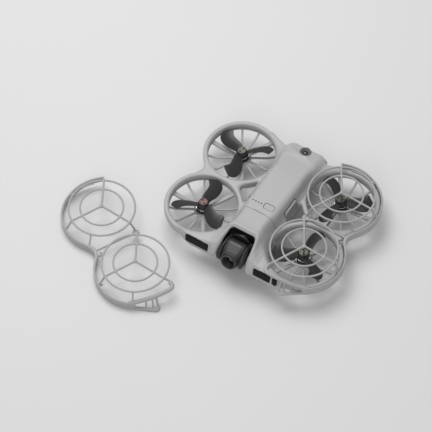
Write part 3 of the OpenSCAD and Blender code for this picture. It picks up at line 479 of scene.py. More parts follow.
def shellField(x, y, z):
    s = frameForm
    plan = deckPlan(x, y)
    middle = (s["foot"] + s["rim"]) / 2
    deck = extruded(plan, slab(z, s["foot"], s["rim"]), np.where(z > middle, s["rimRound"], 0.5))
    shell = smin(deck, shoulderField(x, y, z), 3)
    shell = smin(shell, wingField(x, y, z), 3)
    trunk = np.maximum(trunkField(x, y, z), np.maximum(notchForm["back"] - y, s["split"] - z))
    shell = smin(shell, trunk, 4)
    post = cappedTube(np.hypot(np.abs(x) - 12, y - 61.2), z, 2.3, 18, 27.8, 1.2)
    shell = smin(shell, post, 1.5)
    bore = s["bore"] + s["lean"] * np.maximum(z - s["waist"] + 0.2, 0) - ductSide(x, y)
    shell = smax(shell, bore, 2.6)
    return shell


# bay of the camera: half width and rim height along it, the prongs' rounding and the black sheet of painted
# shade on its walls
notchForm = {
    "half": ([-76, -71, -68, -64, -58.5, -49], [14.8, 14.2, 13.6, 13.3, 13.3, 12.0]),
    "rim": ([-73, -71.4, -69, -66, -60, -49, -47], [19.5, 24.5, 28.4, 31.6, 35.4, 40.4, 41.0]),
    "back": -47.5, "round": 4, "curl": 6.6, "curlTop": 25.2, "curlY": -64, "bevel": 1.5,
    "lining": 0.55, "liningFoot": 18.6, "liningLift": 3.4, "liningDrop": 2.4, "liningY": (-69.6, -45.9),
}


def prongShare(y):
    # 0 behind the prongs, 1 at their tips
    return np.clip((notchForm["curlY"] - y) / 4, 0, 1)


def notchField(x, y, z):
    # the camera's bay, which widens below the prongs and so rounds their corners
    s = notchForm
    half = np.interp(y, *s["half"])
    drop = np.clip((s["curlTop"] - z) / s["curl"], 0, 1) * prongShare(y)
    half = half + s["curl"] * (1 - np.sqrt(1 - drop ** 2))
    return smax(np.abs(x) - half, y - s["back"], s["round"])


def rimHeight(y):
    # height of the shell along the bay, for its bevel and its sheet of painted shade
    return np.interp(y, *notchForm["rim"])


def paneBox(x, y, z, low, high, depth, rise, r):
    # a window's slot through the front face, rounded only in its own plane
    plan = roundBox(x, 0, z, ((low + high) / 2, 0, windowForm["z"]), ((high - low) / 2, r, rise), r)
    return np.maximum(plan, np.abs(y - windowForm["y"]) - depth)


def latchSlot(y):
    # along the body, a latch with its gap
    s = latchForm
    return np.abs(y - s["y"]) - s["flatY"] - s["round"] - s["gap"]


def upperField(x, y, z):
    s = frameForm
    shell = shellField(x, y, z)
    notch = notchField(x, y, z)
    bevel = (notch - notchForm["bevel"] - 0.9 * (z - rimHeight(y))) / 1.35
    shell = smax(shell, -np.minimum(notch, bevel), 0.7)
    shell = np.maximum(shell, -np.maximum(notch - 1.2, z - rimHeight(y) + 2.2))
    bay = np.maximum(np.abs(x) - s["bayHalf"], slab(y, s["seam"] - 0.4, s["bayTail"]))
    bay = np.maximum(bay, s["bayFloor"] - z)
    cover = coverPlan(x, y) + np.interp(y, s["lapY"], [-s["seamGap"], s["lap"]])
    cover = np.maximum(cover, s["waist"] + 0.05 - z)
    latch = np.maximum(np.maximum(latchSlot(y), slab(np.abs(x), 15.3, 20.5)), 16.9 - z)
    shell = np.maximum(shell, -np.minimum(np.minimum(bay, cover), latch))
    for low, high in windowForm["spans"]:
        shell = np.maximum(shell, -paneBox(x, y, z, low, high, **windowForm["slot"]))
    grilleRoom = np.maximum(ductSide(x, y) - s["duct"], z - s["foot"])
    lens = np.maximum(np.hypot(x, y - rearLensForm["y"]) - rearLensForm["hole"], 20 - z)
    usb = roundBox(x, y, z, (0, 62, 17), (4.6, 8, 1.75), 1.5)
    return np.maximum(shell, -np.minimum(np.minimum(grilleRoom, lens), usb))


def batteryField(x, y, z):
    # the cover laps over the shell's edge behind its front seam
    s = frameForm
    cover = smax(coverPlan(x, y) + np.interp(y, s["lapY"], [s["seamGap"], 0]), s["waist"] + 0.35 - z, 0.6)
    proud = np.interp(y, s["lapY"], [0, s["proud"]])
    cover = smax(shellField(x, y, z) - proud, cover, np.interp(y, s["lapY"], [0.35, 0.1]))
    block = roundBox(x, y, z, (0, 11.4, 22), (16.3, 35.1, 6.7), 0.8)
    block = np.maximum(block, -np.maximum(ductSide(x, y) - s["duct"], z - s["foot"]))
    whole = np.minimum(cover, block)
    s = latchForm
    latch = np.maximum(latchSlot(y), np.abs(z - s["z"]) - s["flatZ"] - s["round"] - s["gap"])
    latch = np.maximum(latch, s["inner"] - s["travel"] - s["gap"] - np.abs(x))
    stemEnd = s["stemEnd"] - s["travel"] - s["gap"] - 0.1
    stem = np.maximum(np.hypot(y - s["y"], z - s["z"]) - s["stem"] - s["gap"], stemEnd - np.abs(x))
    s = buttonForm
    half = (s["halfX"] + s["gap"], s["halfY"] + s["gap"], s["well"])
    well = roundBox(*buttonPlace(x, y, z), (0, 0, 0), half, s["round"] + 0.1)
    whole = np.maximum(whole, -np.minimum(np.minimum(latch, stem), well))
    s = lightForm
    for at in s["across"]:
        whole = np.maximum(whole, -np.maximum(np.hypot(x - at, y - s["y"]) - s["hole"], 36 - z))
    return whole


def buttonPlace(x, y, z):
    # coordinates about the button, in the slope of the top
    tilt = math.atan(frameForm["fall"])
    y, z = y - buttonForm["y"], z - buttonForm["z"]
    c, s = math.cos(tilt), math.sin(tilt)
    return x - buttonForm["x"], c * y - s * z, s * y + c * z


bellyForm = {"top": 12.9, "sensor": (7, 15, 0.9), "sensorY": -17, "slots": 7, "slotY": 26.55, "pitch": 2.4,
             "slot": (8, 0.6, 1.6), "screws": ((12.5, -38), (8.5, 51)), "screw": 1.7}


def bellyField(x, y, z):
    s = bellyForm
    ax = np.abs(x)
    side = smax(ax - 18.5, (ax - 15.2 - 0.45 * z) / 1.1, 2)
    low = (ax - 12 - 2.2 * z) / 2.4
    front = smax(-47.5 - y, (-38.6 - 0.95 * z - y) / 1.38, 4)
    back = smax(y - 60, (y - 51.6 - 0.9 * z) / 1.35, 4)
    hull = smax(smax(smax(side, low, 3), smax(front, back, 1), 5), -z, 2.2)
    hull = np.maximum(hull, z - s["top"])
    hull = np.maximum(hull, -roundBox(x, y, z, (0, s["sensorY"], 0), s["sensor"], 0.8))
    for i in range(s["slots"]):
        slot = roundBox(x, y, z, (0, s["slotY"] + s["pitch"] * i, 0), s["slot"], 0.5)
        hull = np.maximum(hull, -slot)
    for sx, sy in s["screws"]:
        hull = np.maximum(hull, -cappedTube(np.hypot(ax - sx, y - sy), z, s["screw"], -3, 6, 0.1))
    return hull


def bayShadeField(x, y, z):
    # black sheet of painted shade on the camera bay's walls, set into the shell below its rim
    s = notchForm
    front, back = s["liningY"]
    wall = np.maximum(np.abs(notchField(x, y, z) - 0.6) - s["lining"], front - y)
    foot = s["liningFoot"] + s["liningLift"] * prongShare(y)
    liner = smax(wall, foot - z, 0.4)
    return np.maximum(smax(liner, z - rimHeight(y) + s["liningDrop"], 0.4), y - back)


skinPiece("upperShell", upperField, (-86, -75, 12.5), (86, 68, 42.5), 0.62,
          "body", "frame", ["upper_frame"])
skinPiece("batteryShell", batteryField, (-20, -26, 15), (20, 50, 41.5), 0.4,
          "battery", "battery", ["battery_shell"])
skinPiece("bellyShell", bellyField, (-19, -48, 0), (19, 61, 13), 0.55,
          "belly", "frame", ["lower_frame"])
# painted shade: a black sheet where the camera bay's walls are in shadow
skinPiece("cameraBayLiner", bayShadeField, (-17, -74, 17), (17, -45, 41), 0.4,
          "liner", "frame")

lineForm = {"y": (-67.7, -68.9), "half": 0.14, "depth": 0.12, "inner": 20.2, "outer": 28.0}


def frontLineField(x, y, z):
    # two fine darker lines on the shell's front edge beside the camera, painted shade along its ridges
    s = lineForm
    reach = slab(np.abs(x), s["inner"], s["outer"] + 0.8 * (y + 68))
    lines = np.minimum(np.abs(y - s["y"][0]), np.abs(y - s["y"][1])) - s["half"]
    return np.maximum(np.maximum(np.abs(shellField(x, y, z)) - s["depth"], lines), reach)


# painted shade along the front ridges
for name, (low, high) in {"Left": (-28.4, -20), "Right": (20, 28.4)}.items():
    skinPiece("frontLines" + name, frontLineField, (low, -69.4, 28.5), (high, -67.2, 33.5), 0.13,
              "seam", "frame")
print("shells done")

# grilles

grilleForm = {"foot": 16.5, "top": 18.3, "ring": 31.85, "ringHalf": 2.0, "hubFoot": 14.4, "hubTop": 16.0,
              "hub": 8.2, "bore": 2.6, "spokes": 12, "spoke": 0.9, "armRoot": 1.35, "armEnd": 2.0,
              "edge": 32.05}


def grilleField(side):
    # ring, motor plate, three wide arms and nine thin spokes between them
    s = grilleForm
    wide = 2 if side < 0 else 0

    def field(x, y, z):
        r = np.hypot(x, y)
        ring = extruded(np.abs(r - s["ring"]) - s["ringHalf"], slab(z, s["foot"], s["top"]), 0.4)
        hub = extruded(r - s["hub"], slab(z, s["hubFoot"], s["hubTop"]), 0.4)
        whole = [ring, hub]
        for i in range(s["spokes"]):
            turn = 2 * math.pi * i / s["spokes"]
            along = x * math.cos(turn) + y * math.sin(turn)
            across = np.abs(y * math.cos(turn) - x * math.sin(turn))
            share = np.clip((along - 7) / 23, 0, 1)
            if i % 4 == wide:
                half = s["armRoot"] + (s["armEnd"] - s["armRoot"]) * share
                low = s["hubFoot"] + (s["foot"] - s["hubFoot"]) * np.clip((along - 16) / 14, 0, 1)
                high = s["hubTop"] + (s["top"] - s["hubTop"]) * np.clip((along - 7) / 19, 0, 1)
            else:
                half = s["spoke"]
                bend = np.clip((along - 24.4) / 4.6, 0, 1)
                low = s["hubFoot"] + 0.3 + (s["foot"] - s["hubFoot"] - 0.2) * bend
                high = s["hubTop"] - 0.1 + (s["top"] - s["hubTop"]) * bend
            whole.append(extruded(np.maximum(across - half, slab(along, 6, 31)), slab(z, low, high), 0.3))
        return np.maximum(joined(whole, 0.7), s["bore"] - r)

    return field


corners = {"front_left": (-1, -1), "front_right": (1, -1), "rear_left": (-1, 1), "rear_right": (1, 1)}


def motorSpot(place):
    sx, sy = corners[place]
    return np.array([frameForm["halfX"] * sx, frameForm["halfY"] * sy, 0])


def pieceName(first, place):
    return first + "".join(word.capitalize() for word in place.split("_"))


for side in (-1, 1):
    basePoints, grilleFaces = skin(grilleField(side), (-34, -34, 14.2), (34, 34, 18.6), 0.42)
    for place, (sx, sy) in corners.items():
        if sx == side:
            points = basePoints.copy()  # neighbours meet at a flat edge
            points[:, 1] = sy * np.maximum(sy * points[:, 1], -grilleForm["edge"])
            addMesh(pieceName("grille", place), points + motorSpot(place), grilleFaces,
                    "grille", "frame", ["grille_" + place])
print("grilles done")

# propellers, caps and bells

# one blade by stations from root to tip, lengths in millimetres and pitch in degrees
bladeForm = {
    "along": [4.6, 6, 8.5, 11.5, 15, 18.5, 21, 22.9, 24, 25, 25.9, 26.7, 27.3, 27.7, 27.85],
    "lead": [-3.6, -4.3, -5.8, -7.3, -8.5, -9.1, -9.15, -8.85, -8.45, -7.9, -7.2, -6.3, -5.3, -4.3, -3.7],
    "trail": [3.0, 3.2, 2.9, 2.3, 1.65, 1.75, 3.3, 4.5, 3.9, 2.5, 1.0, -0.2, -1.2, -2.2, -2.8],
    "height": [24.1, 24.3, 24.9, 25.3, 25.5, 25.6, 25.6, 25.5, 25.5, 25.4, 25.4, 25.3, 25.3, 25.3, 25.3],
    "pitch": [27, 30, 31, 31, 30, 28, 27, 26, 25.5, 25, 25, 25, 25, 25, 25],
    "thick": [1.5, 1.5, 1.4, 1.3, 1.2, 1.1, 1.05, 1.0, 0.95, 0.9, 0.85, 0.8, 0.7, 0.6, 0.45],
}
bladeCount, bladeRings, halfSection = 3, 57, 11
rotorForm = {"foot": 20.9, "hub": 4.9, "hubTop": 25.2, "boss": 4.2, "capFoot": 26.3, "cap": 4.0, "capTop": 27.5,
             "screwX": 2, "bell": 6.0, "bellFoot": 17.1, "bellTop": 20.88, "shaft": 0.75, "turn": 40}
rotors = {"front_left": (100, 1), "front_right": (80, -1), "rear_left": (30, -1), "rear_right": (150, 1)}


def bladeMesh(turn, hand):
    # closed loft over the stations, with an aerofoil section of 2 * n points
    n = halfSection
    chord = (1 - np.cos(np.linspace(0, math.pi, n))) / 2
    stations = range(len(bladeForm["along"]))
    fine = np.linspace(0, stations[-1], bladeRings)
    values = [np.interp(fine, stations, row) for row in bladeForm.values()]
    for v in values[1:3]:
        v[1:-1] = np.convolve(v, [0.25, 0.5, 0.25], "valid")
    points, faces = [], []
    for r, lead, trail, height, pitch, thick in zip(*values):
        width = trail - lead
        half = thick * 1.9 * (np.sqrt(chord) * (1 - chord) + 0.1)
        camber = 0.055 * width * 4 * chord * (1 - chord)
        across = lead + width * chord
        base = height + across * math.tan(math.radians(pitch)) + camber
        across = np.concatenate([across, across[::-1]]) * hand
        z = np.concatenate([base + half * 0.5, (base - half * 0.5)[::-1]])
        points += [(r, a, b) for a, b in zip(across, z)]
    ring = 2 * n
    for i in range(len(fine) - 1):
        for j in range(ring):
            a, b = i * ring + j, i * ring + (j + 1) % ring
            faces.append((a, b, b + ring, a + ring))
    last = (len(fine) - 1) * ring
    for j in range(n - 1):
        faces.append((j, ring - 1 - j, ring - 2 - j, j + 1))
        faces.append((last + j, last + j + 1, last + ring - 2 - j, last + ring - 1 - j))
    if hand > 0:
        faces = [f[::-1] for f in faces]
    c, d = math.cos(math.radians(turn)), math.sin(math.radians(turn))
    spin = np.array([[c, -d, 0], [d, c, 0], [0, 0, 1]])
    return np.array(points) @ spin.T, np.array(faces)


def hubField(x, y, z):
    s = rotorForm
    r = np.hypot(x, y)
    plate = cappedTube(r, z, s["hub"], s["foot"], s["hubTop"], 0.9)
    boss = cappedTube(r, z, s["boss"], s["foot"], s["capFoot"], 0.3)
    waist = np.maximum(np.abs(z - 22.3) - 0.22, 4.65 - r)
    return np.maximum(np.maximum(smin(plate, boss, 0.6), -waist), 0.81 - r)


def capField(x, y, z):
    s = rotorForm
    r = np.hypot(x, y)
    cap = cappedTube(r, z, s["cap"], s["capFoot"], s["capTop"], 0.35)
    hole = np.hypot(np.abs(x) - s["screwX"], y) - 0.82
    dish = np.maximum(r - 3.1, 27.28 - z)
    return smax(np.maximum(cap, -dish), -hole, 0.2)


def screwField(x, y, z):
    # two screws with crossed slots
    x = np.abs(x) - rotorForm["screwX"]
    r = np.hypot(x, y)
    head = cappedTube(r, z, 0.74, 26.32, 27.0, 0.12)
    slot = roundBox(x, y, z, (0, 0, 27.0), (0.36, 0.12, 0.3), 0.05)
    cross = roundBox(x, y, z, (0, 0, 27.0), (0.12, 0.36, 0.3), 0.05)
    stem = cappedTube(r, z, 0.48, 24.7, 26.6, 0.1)
    return np.maximum(np.minimum(head, stem), -np.minimum(slot, cross))


def bellField(x, y, z):
    # hollow can with nine vents, and its shaft
    s = rotorForm
    r = np.hypot(x, y)
    turn = np.arctan2(y, x)
    can = cappedTube(r, z, s["bell"], s["bellFoot"], s["bellTop"], 0.35)
    groove = np.maximum(np.abs(z - 18.0) - 0.15, 5.8 - r)
    vent = np.abs(np.mod(turn + math.pi / 9, 2 * math.pi / 9) - math.pi / 9) * r - 0.55
    vent = np.maximum(vent, np.maximum(slab(z, 19.0, 20.2), 4.0 - r))
    inner = np.maximum(r - 4.9, z - 20.3)
    shaft = np.maximum(r - s["shaft"], slab(z, 15.4, s["capFoot"]))
    return np.minimum(np.maximum(can, -np.minimum(np.minimum(groove, vent), inner)), shaft)


def bellHighlightField(x, y, z):
    # bright steel ring on top of the bell, standing in for the highlight along its edge
    return extruded(np.abs(np.hypot(x, y) - 5.55) - 0.38, slab(z, 20.5, 21.0), 0.12)


def turnedBy(points, degrees):
    c, s = math.cos(math.radians(degrees)), math.sin(math.radians(degrees))
    return points @ np.array([[c, s, 0], [-s, c, 0], [0, 0, 1]])


# each part's mesh, its finish and slot, and the start of the node's name that it replaces
rotorParts = {
    "propellerHub": (skin(hubField, (-6, -6, 20.7), (6, 6, 26.5), 0.3), "propeller", "propeller_plastic", None),
    "rotorCap": (skin(capField, (-4.2, -4.2, 26.1), (4.2, 4.2, 27.7), 0.14), None, None, "rotor_cap_"),
    # painted highlight: bright ring for the light along each bell's edge
    "bellRing": (skin(bellHighlightField, (-6.2, -6.2, 20.2), (6.2, 6.2, 21.2), 0.2), "stator", "bell_metal", None),
    "capScrews": (skin(screwField, (-3, -1, 24.6), (3, 1, 27.2), 0.1), "screw", "screw_steel", "cap_screws_"),
    "rotorBell": (skin(bellField, (-6.2, -6.2, 15.3), (6.2, 6.2, 26.4), 0.28), "bell", "bell_metal",
                  "rotor_bell_"),
}
capLooks = {"front_left": ("capWarm", "cap_metal_warm")}  # the other caps are grey
for place, (turn, hand) in rotors.items():
    body = "rotor_" + place
    for name, ((points, faces), finish, slot, node) in rotorParts.items():
        if not finish:
            finish, slot = capLooks.get(place, ("capGrey", "cap_metal_grey"))
        points = turnedBy(points, turn + rotorForm["turn"]) + motorSpot(place)
        addMesh(pieceName(name, place), points, faces, finish, body, [node + place] if node else ())
    blades = [bladeMesh(turn + 360 / bladeCount * i, hand) for i in range(bladeCount)]
    points = np.concatenate([blade[0] for blade in blades]) + motorSpot(place)
    faces = np.concatenate([blade[1] + i * len(blade[0]) for i, blade in enumerate(blades)])
    addMesh(pieceName("propellerBlades", place), points, faces, "propeller", body,
            ["propeller_" + place])
print("rotors done")

# guards

# positions are about the middle between the two motors that a guard covers, angles from +x in degrees
guardForm = {
    "gap": 1.2, "half": 0.85, "foot": 17.4, "top": 25.8, "lip": 24.5, "ring": 34.1, "outer": 28.9,
    "inner": 18.8, "rise": 2.8, "wire": 0.88, "spoke": 0.9, "web": 16.5, "rib": 0.75, "prop": 0.62,
    "hooks": [(32.2, 66), (32.2, 3), (-32.2, 56), (-32.2, 51), (-32.2, -2)],
    "props": [(32.2, 60), (32.2, -45), (-32.2, 47), (-32.2, -59)],
    # beam along the front wing's edge, then the slotted bumper below its outer end
    "beam": [(-18.1, -62.6, 30.9), (-18.4, -64.4, 30.9), (-17.9, -66.0, 30.9), (-16.6, -67.2, 30.9),
             (-14.6, -67.8, 30.8), (-8.5, -67.8, 30.2), (-1.2, -66.9, 29.0), (6, -65.4, 27.3),
             (12.5, -63.3, 25.8), (19.5, -60.6, 25.0)],
    "bumper": [(22, -59.6, 18.9), (16.5, -63.6, 18.85), (7.7, -69.8, 18.85), (1.6, -73.9, 18.85),
               (-0.8, -73.5, 18.85)],
    "strut": [(-0.8, -73.5, 18.9), (-1.2, -68.6, 27.6)],
    "beamR": 1.85, "bumperR": 1.4, "strutR": 1.0,
    "ribs": [((3.6, -71.9, 18.8), (2.2, -68.2, 27.6)), ((8.7, -68.6, 18.8), (7.3, -66.2, 26.2)),
             ((6.8, -64.9, 27.2), (11, -63.4, 26))],
    # the guard taken off: turned, and moved to the floor on the other side
    "offTurn": 59.5, "off": (-97.8, -94, -17.4),
}


def pastRay(x, y, cy, degrees):
    # positive on the anticlockwise side of a ray from a motor axis
    a = math.radians(degrees)
    return (y - cy) * math.cos(a) - x * math.sin(a)


def ringField(x, y, z, r, height, wire):
    return np.hypot(np.hypot(x, y) - r, z - height) - wire


def polarPoint(cy, degrees, r, z):
    a = math.radians(degrees)
    return (r * math.cos(a), cy + r * math.sin(a), z)


def guardField(x, y, z):
    # the guard of the +x side about the line of its motors
    s = guardForm
    front, rear = -frameForm["halfY"], frameForm["halfY"]
    discs = [np.hypot(x, y - c) - frameForm["duct"] for c in (front, rear)]
    plan = smin(discs[0], discs[1], s["web"])
    wall = np.abs(plan - s["gap"]) - s["half"]
    skirt = extruded(wall, slab(z, s["foot"], s["top"]), 0.6)
    skirt = np.maximum(skirt, np.maximum(-pastRay(x, y, front, -63), pastRay(x, y, rear, 60)))
    strip = extruded(slab(plan, -1.9, -0.7), slab(z, s["lip"], s["top"]), 0.4)
    strip = np.maximum(strip, np.maximum(-pastRay(x, y, rear, 66), pastRay(x, y, rear, 104)))
    lean = np.maximum(17.2 - x, 0)
    low, high = s["foot"] + 0.2 * lean, s["top"] + 0.12 * lean
    tail = extruded(wall, slab(z, low, high), 0.6)
    tail = np.maximum(tail, np.maximum(-pastRay(x, y, rear, 57), pastRay(x, y, rear, 119)))
    beyond = np.where(x > -24, 0, 9)
    parts = [np.minimum(np.minimum(skirt, strip), tail + beyond)]
    for cy, degrees in s["hooks"]:
        inner, outer = polarPoint(cy, degrees, 32.6, 25.1), polarPoint(cy, degrees, 35, 25.1)
        parts.append(bar(x, y, z, inner, outer, s["rib"]))
    innerRise = s["rise"] * (1 - s["inner"] / s["outer"])
    spokeEnds = {
        rear: [(0, polarPoint(rear, 0, 34.9, 25.2)), (120, polarPoint(rear, 118, 34.9, 29.6)),
               (240, (-17.4, 1.4, 26))],
        front: [(0, polarPoint(front, 0, 34.9, 25.2)), (120, (-17.4, -1.4, 26)), (240, (-19.4, -62.0, 30.7))],
    }
    for cy, ends in spokeEnds.items():
        parts.append(ringField(x, y - cy, z, s["outer"], s["ring"], s["wire"]))
        parts.append(ringField(x, y - cy, z, s["inner"], s["ring"] + innerRise, s["wire"] * 0.92))
        parts.append(np.sqrt(x ** 2 + (y - cy) ** 2 + ((z - s["ring"] - s["rise"]) * 1.3) ** 2) - 1.7)
        for degrees, end in ends:
            crossing = polarPoint(cy, degrees, s["outer"], s["ring"])
            parts.append(bar(x, y, z, (0, cy, s["ring"] + s["rise"]), crossing, s["spoke"]))
            parts.append(bar(x, y, z, crossing, end, s["spoke"]))
    for cy, degrees in s["props"]:
        head, foot = polarPoint(cy, degrees, s["outer"], s["ring"]), polarPoint(cy, degrees, 34.8, 25.2)
        parts.append(bar(x, y, z, head, foot, s["prop"]))
    bridge = np.maximum(np.abs(x + 16.6) - 3.2, np.abs(y) - 4.2 + np.abs(x + 16.6) * 0.9)
    parts.append(extruded(bridge, slab(z, 25.3, 26.5), 0.4))
    parts.append(bar(x, y, z, (-15, 0, 25.9), (21.6, 0, 25.2), s["rib"]))
    for key in ("beam", "bumper", "strut"):
        run = [bar(x, y, z, p, q, s[key + "R"]) for p, q in zip(s[key], s[key][1:])]
        parts.append(np.minimum.reduce(run))
    for foot, head in s["ribs"]:
        parts.append(bar(x, y, z, foot, head, s["rib"]))
    return joined(parts, 0.8)


guardPoints, guardFaces = skin(guardField, (-31, -76, 17), (37, 70, 38.7), 0.42)
print("guard", len(guardPoints), "points")
addMesh("guardRight", guardPoints + np.array([frameForm["halfX"], 0, 0]), guardFaces,
        "guard", "guard_right", ["guard_right"])
offPoints = turnedBy(guardPoints * np.array([-1, 1, 1]), guardForm["offTurn"]) + np.array(guardForm["off"])
addMesh("guardLeft", offPoints, guardFaces[:, ::-1], "guard", "guard_left", ["guard_left"])
print("guards done")

# camera and gimbal

# y and z are the tilt axis, and the roll axis has the same height
cameraForm = {"y": -61.5, "z": 28, "drum": 9.05, "half": 8.5, "barrel": 8.5, "barrelZ": 27, "slope": 0.25,
              "faceY": -80.0, "lensZ": 25.7, "bezel": 7.2, "tube": 4.5, "roll": 13.1, "pin": 1.0, "bore": 1.06,
              "seam": 7.0, "seamHalf": 0.13}
yokeForm = {"cheek": 9.3, "inner": 8.85, "outer": 12.9, "lobe": 7.4, "lobeY": -66.3, "lobeZ": 25.6, "disc": 9.3,
            "motor": 5.2, "gap": 0.45}
rollMotorForm = {"can": 6.4, "front": -50.0, "back": -45.1, "fins": 1.1, "pinEnd": -51.3}


def lensPlace(x, y, z):
    # radius and height above the camera's tilted front face, about the lens
    s = cameraForm
    size = math.hypot(1, s["slope"])
    v, w = y - (s["faceY"] + s["slope"] * s["lensZ"]), z - s["lensZ"]
    return np.hypot(x, (w + s["slope"] * v) / size), (s["slope"] * w - v) / size


def cameraSolid(x, y, z):
    s = cameraForm
    drum = cappedTube(np.hypot(y - s["y"], z - s["z"]), x, s["drum"], -s["half"], s["half"], 1.3)
    front = (s["faceY"] + s["slope"] * z - y) / 1.03
    barrel = smax(smax(np.hypot(x, z - s["barrelZ"]) - s["barrel"], front, 1.4), y + 60, 1)
    flat = (z - 37.0 + 0.35 * np.maximum(-60.2 - y, 0)) / 1.06
    under = np.minimum(18.75 - z, y + 67)  # clears the yoke's disc when the camera looks down
    return smax(smax(smin(drum, barrel, 2), flat, 0.9), under, 0.3)


def cameraField(x, y, z):
    s = cameraForm
    r, v = lensPlace(x, y, z)
    solid = cameraSolid(x, y, z)
    seat = np.maximum(r - s["bezel"] - 0.05, -2.5 - v)
    seat = np.minimum(seat, np.maximum(r - s["tube"] - 0.1, -8 - v))
    pins = np.maximum(np.hypot(y - s["y"], z - s["z"]) - s["bore"], 6.0 - np.abs(x))
    seam = np.maximum(np.abs(np.abs(x) - s["seam"]) - s["seamHalf"], -solid - 0.3)
    return np.maximum(solid, -np.minimum(np.minimum(seat, pins), seam))


def topHighlightField(x, y, z):
    # thin paler skin on the camera's top, a painted highlight where light falls on it
    plan = extruded(np.abs(x) - 5.5, slab(y, -68.9, -59.6), 1.2)
    return smax(np.abs(cameraSolid(x, y, z)) - 0.22, plan, 0.2)


def bezelField(x, y, z):
    s = cameraForm
    r, v = lensPlace(x, y, z)
    ring = cappedTube(r, v, s["bezel"], -2.4, 0.6, 0.45)
    return smax(ring, 4.5 + 0.64 * (v + 2.4) - r, 0.4)


def dishField(x, y, z):
    # cone of painted shade from the bezel's rim down to the lens
    s = cameraForm
    r, v = lensPlace(x, y, z)
    cone = np.abs(r - 4.35 - 0.64 * (v + 2.4)) - 0.35
    return smax(cone, slab(v, -2.4, 0.3), 0.2)


def barrelField(x, y, z):
    s = cameraForm
    r, v = lensPlace(x, y, z)
    tube = cappedTube(r, v, s["tube"], -7.6, -2.45, 0.2)
    well = np.minimum(np.maximum(r - 3.65, -5.0 - v), np.maximum(r - 3.95, -3.0 - v))
    return np.maximum(tube, -well)


def lensField(x, y, z):
    # domed front glass
    r, v = lensPlace(x, y, z)
    return np.maximum(np.maximum(np.sqrt(r ** 2 + (v + 9.0) ** 2) - 5.7, r - 3.6), -4.6 - v)


def yokeField(x, y, z):
    # cheeks and back disc, rounded about the roll axis so that they turn inside the bay
    s, form = cameraForm, yokeForm
    ax = np.abs(x)
    tilt, roll = np.hypot(y - s["y"], z - s["z"]), np.hypot(x, z - s["z"])
    side = slab(ax, form["inner"], form["outer"])
    cheek = extruded(tilt - form["cheek"], side, 1.3)
    lobe = extruded(np.hypot(y - form["lobeY"], z - form["lobeZ"]) - form["lobe"], side, 1.1)
    arm = roundBox(ax, y, z, (10.6, -56.2, 28), (1.7, 5.4, 5.2), 1.2)
    disc = cappedTube(roll, y, form["disc"], -51.85, -50.3, 0.6)
    room = np.maximum(roll - s["roll"], notchField(roll, y, 30.0) + form["gap"])
    whole = smax(joined([cheek, lobe, arm, disc], 1.2), room, 1.4)
    cuts = [np.maximum(tilt - form["motor"] - 0.15, slab(x, 8, 13.5)),
            np.maximum(roll - s["bore"], slab(y, -53, -49)),
            np.maximum(np.abs(tilt - 7.3) - 0.22, 12.2 - ax),
            np.maximum(np.abs(roll - 7.6) - 0.25, y + 51.7)]
    pin = np.maximum(tilt - s["pin"], slab(x, -9.2, -6.4))
    return np.minimum(np.maximum(whole, -np.minimum.reduce(np.broadcast_arrays(*cuts))), pin)


def tiltMotorField(x, y, z):
    s = cameraForm
    tilt = np.hypot(y - s["y"], z - s["z"])
    plate = cappedTube(tilt, x, yokeForm["motor"], yokeForm["inner"], 12.75, 0.35)
    ring = np.maximum(np.abs(tilt - 3.6) - 0.2, 12.4 - x)
    pin = np.maximum(tilt - s["pin"], slab(x, 6.4, 9.5))
    return np.minimum(np.maximum(smax(plate, np.hypot(x, z - s["z"]) - s["roll"], 0.5), -ring), pin)


def rollMotorField(x, y, z):
    s = rollMotorForm
    roll = np.hypot(x, z - cameraForm["z"])
    can = cappedTube(roll, y, s["can"], s["front"], s["back"], 0.5)
    fins = np.maximum(np.abs(np.mod(y, s["fins"]) - s["fins"] / 2) - 0.12, s["can"] - 0.2 - roll)
    pin = np.maximum(roll - cameraForm["pin"], slab(y, s["pinEnd"], -49))
    return np.minimum(np.maximum(can, -fins), pin)


# painted highlight on the camera's top
skinPiece("cameraTopPlate", topHighlightField, (-6, -69.4, 33), (6, -59, 37.6), 0.2,
          "cameraTop", "camera")
skinPiece("cameraBody", cameraField, (-9, -76, 18.2), (9, -52, 37.5), 0.3,
          "camera", "camera", ["camera_housing"])
skinPiece("lensBezel", bezelField, (-7, -77, 18.5), (7, -69, 33), 0.2,
          "bezel", "camera", ["lens_bezel"])
# painted shade: the dish is a darker copy of the bezel's plastic, shade in the lens recess
skinPiece("lensDish", dishField, (-7, -77, 18.5), (7, -69, 33), 0.2,
          "liner", "camera")
skinPiece("lensBarrel", barrelField, (-5, -73.5, 18.4), (5, -64, 31.5), 0.22,
          "gimbal", "camera", ["lens_barrel"])
skinPiece("lensGlass", lensField, (-4.2, -72.5, 20.5), (4.2, -67, 29.5), 0.18,
          "lens", "camera", ["lens_glass"])
skinPiece("gimbalYoke", yokeField, (-13.3, -74.2, 17.8), (13.3, -50, 37.6), 0.3,
          "gimbal", "gimbal_roll", ["gimbal_yoke"])
skinPiece("tiltMotor", tiltMotorField, (6.2, -67, 22.5), (13, -56, 33.5), 0.25,
          "bell", "gimbal_roll", ["tilt_motor"])
skinPiece("rollMotor", rollMotorField, (-6.6, -52, 21.4), (6.6, -45, 34.6), 0.25,
          "bell", "frame", ["roll_motor"])
print("camera done")

# windows, rear lens, button, latches


def windowField(x, y, z):
    s = windowForm
    panes = [paneBox(x, y, z, low + s["gap"], high - s["gap"], **s["pane"]) for low, high in s["spans"]]
    return smax(joined(panes, 0.01), s["y"] - 0.1 - y, 0.3)


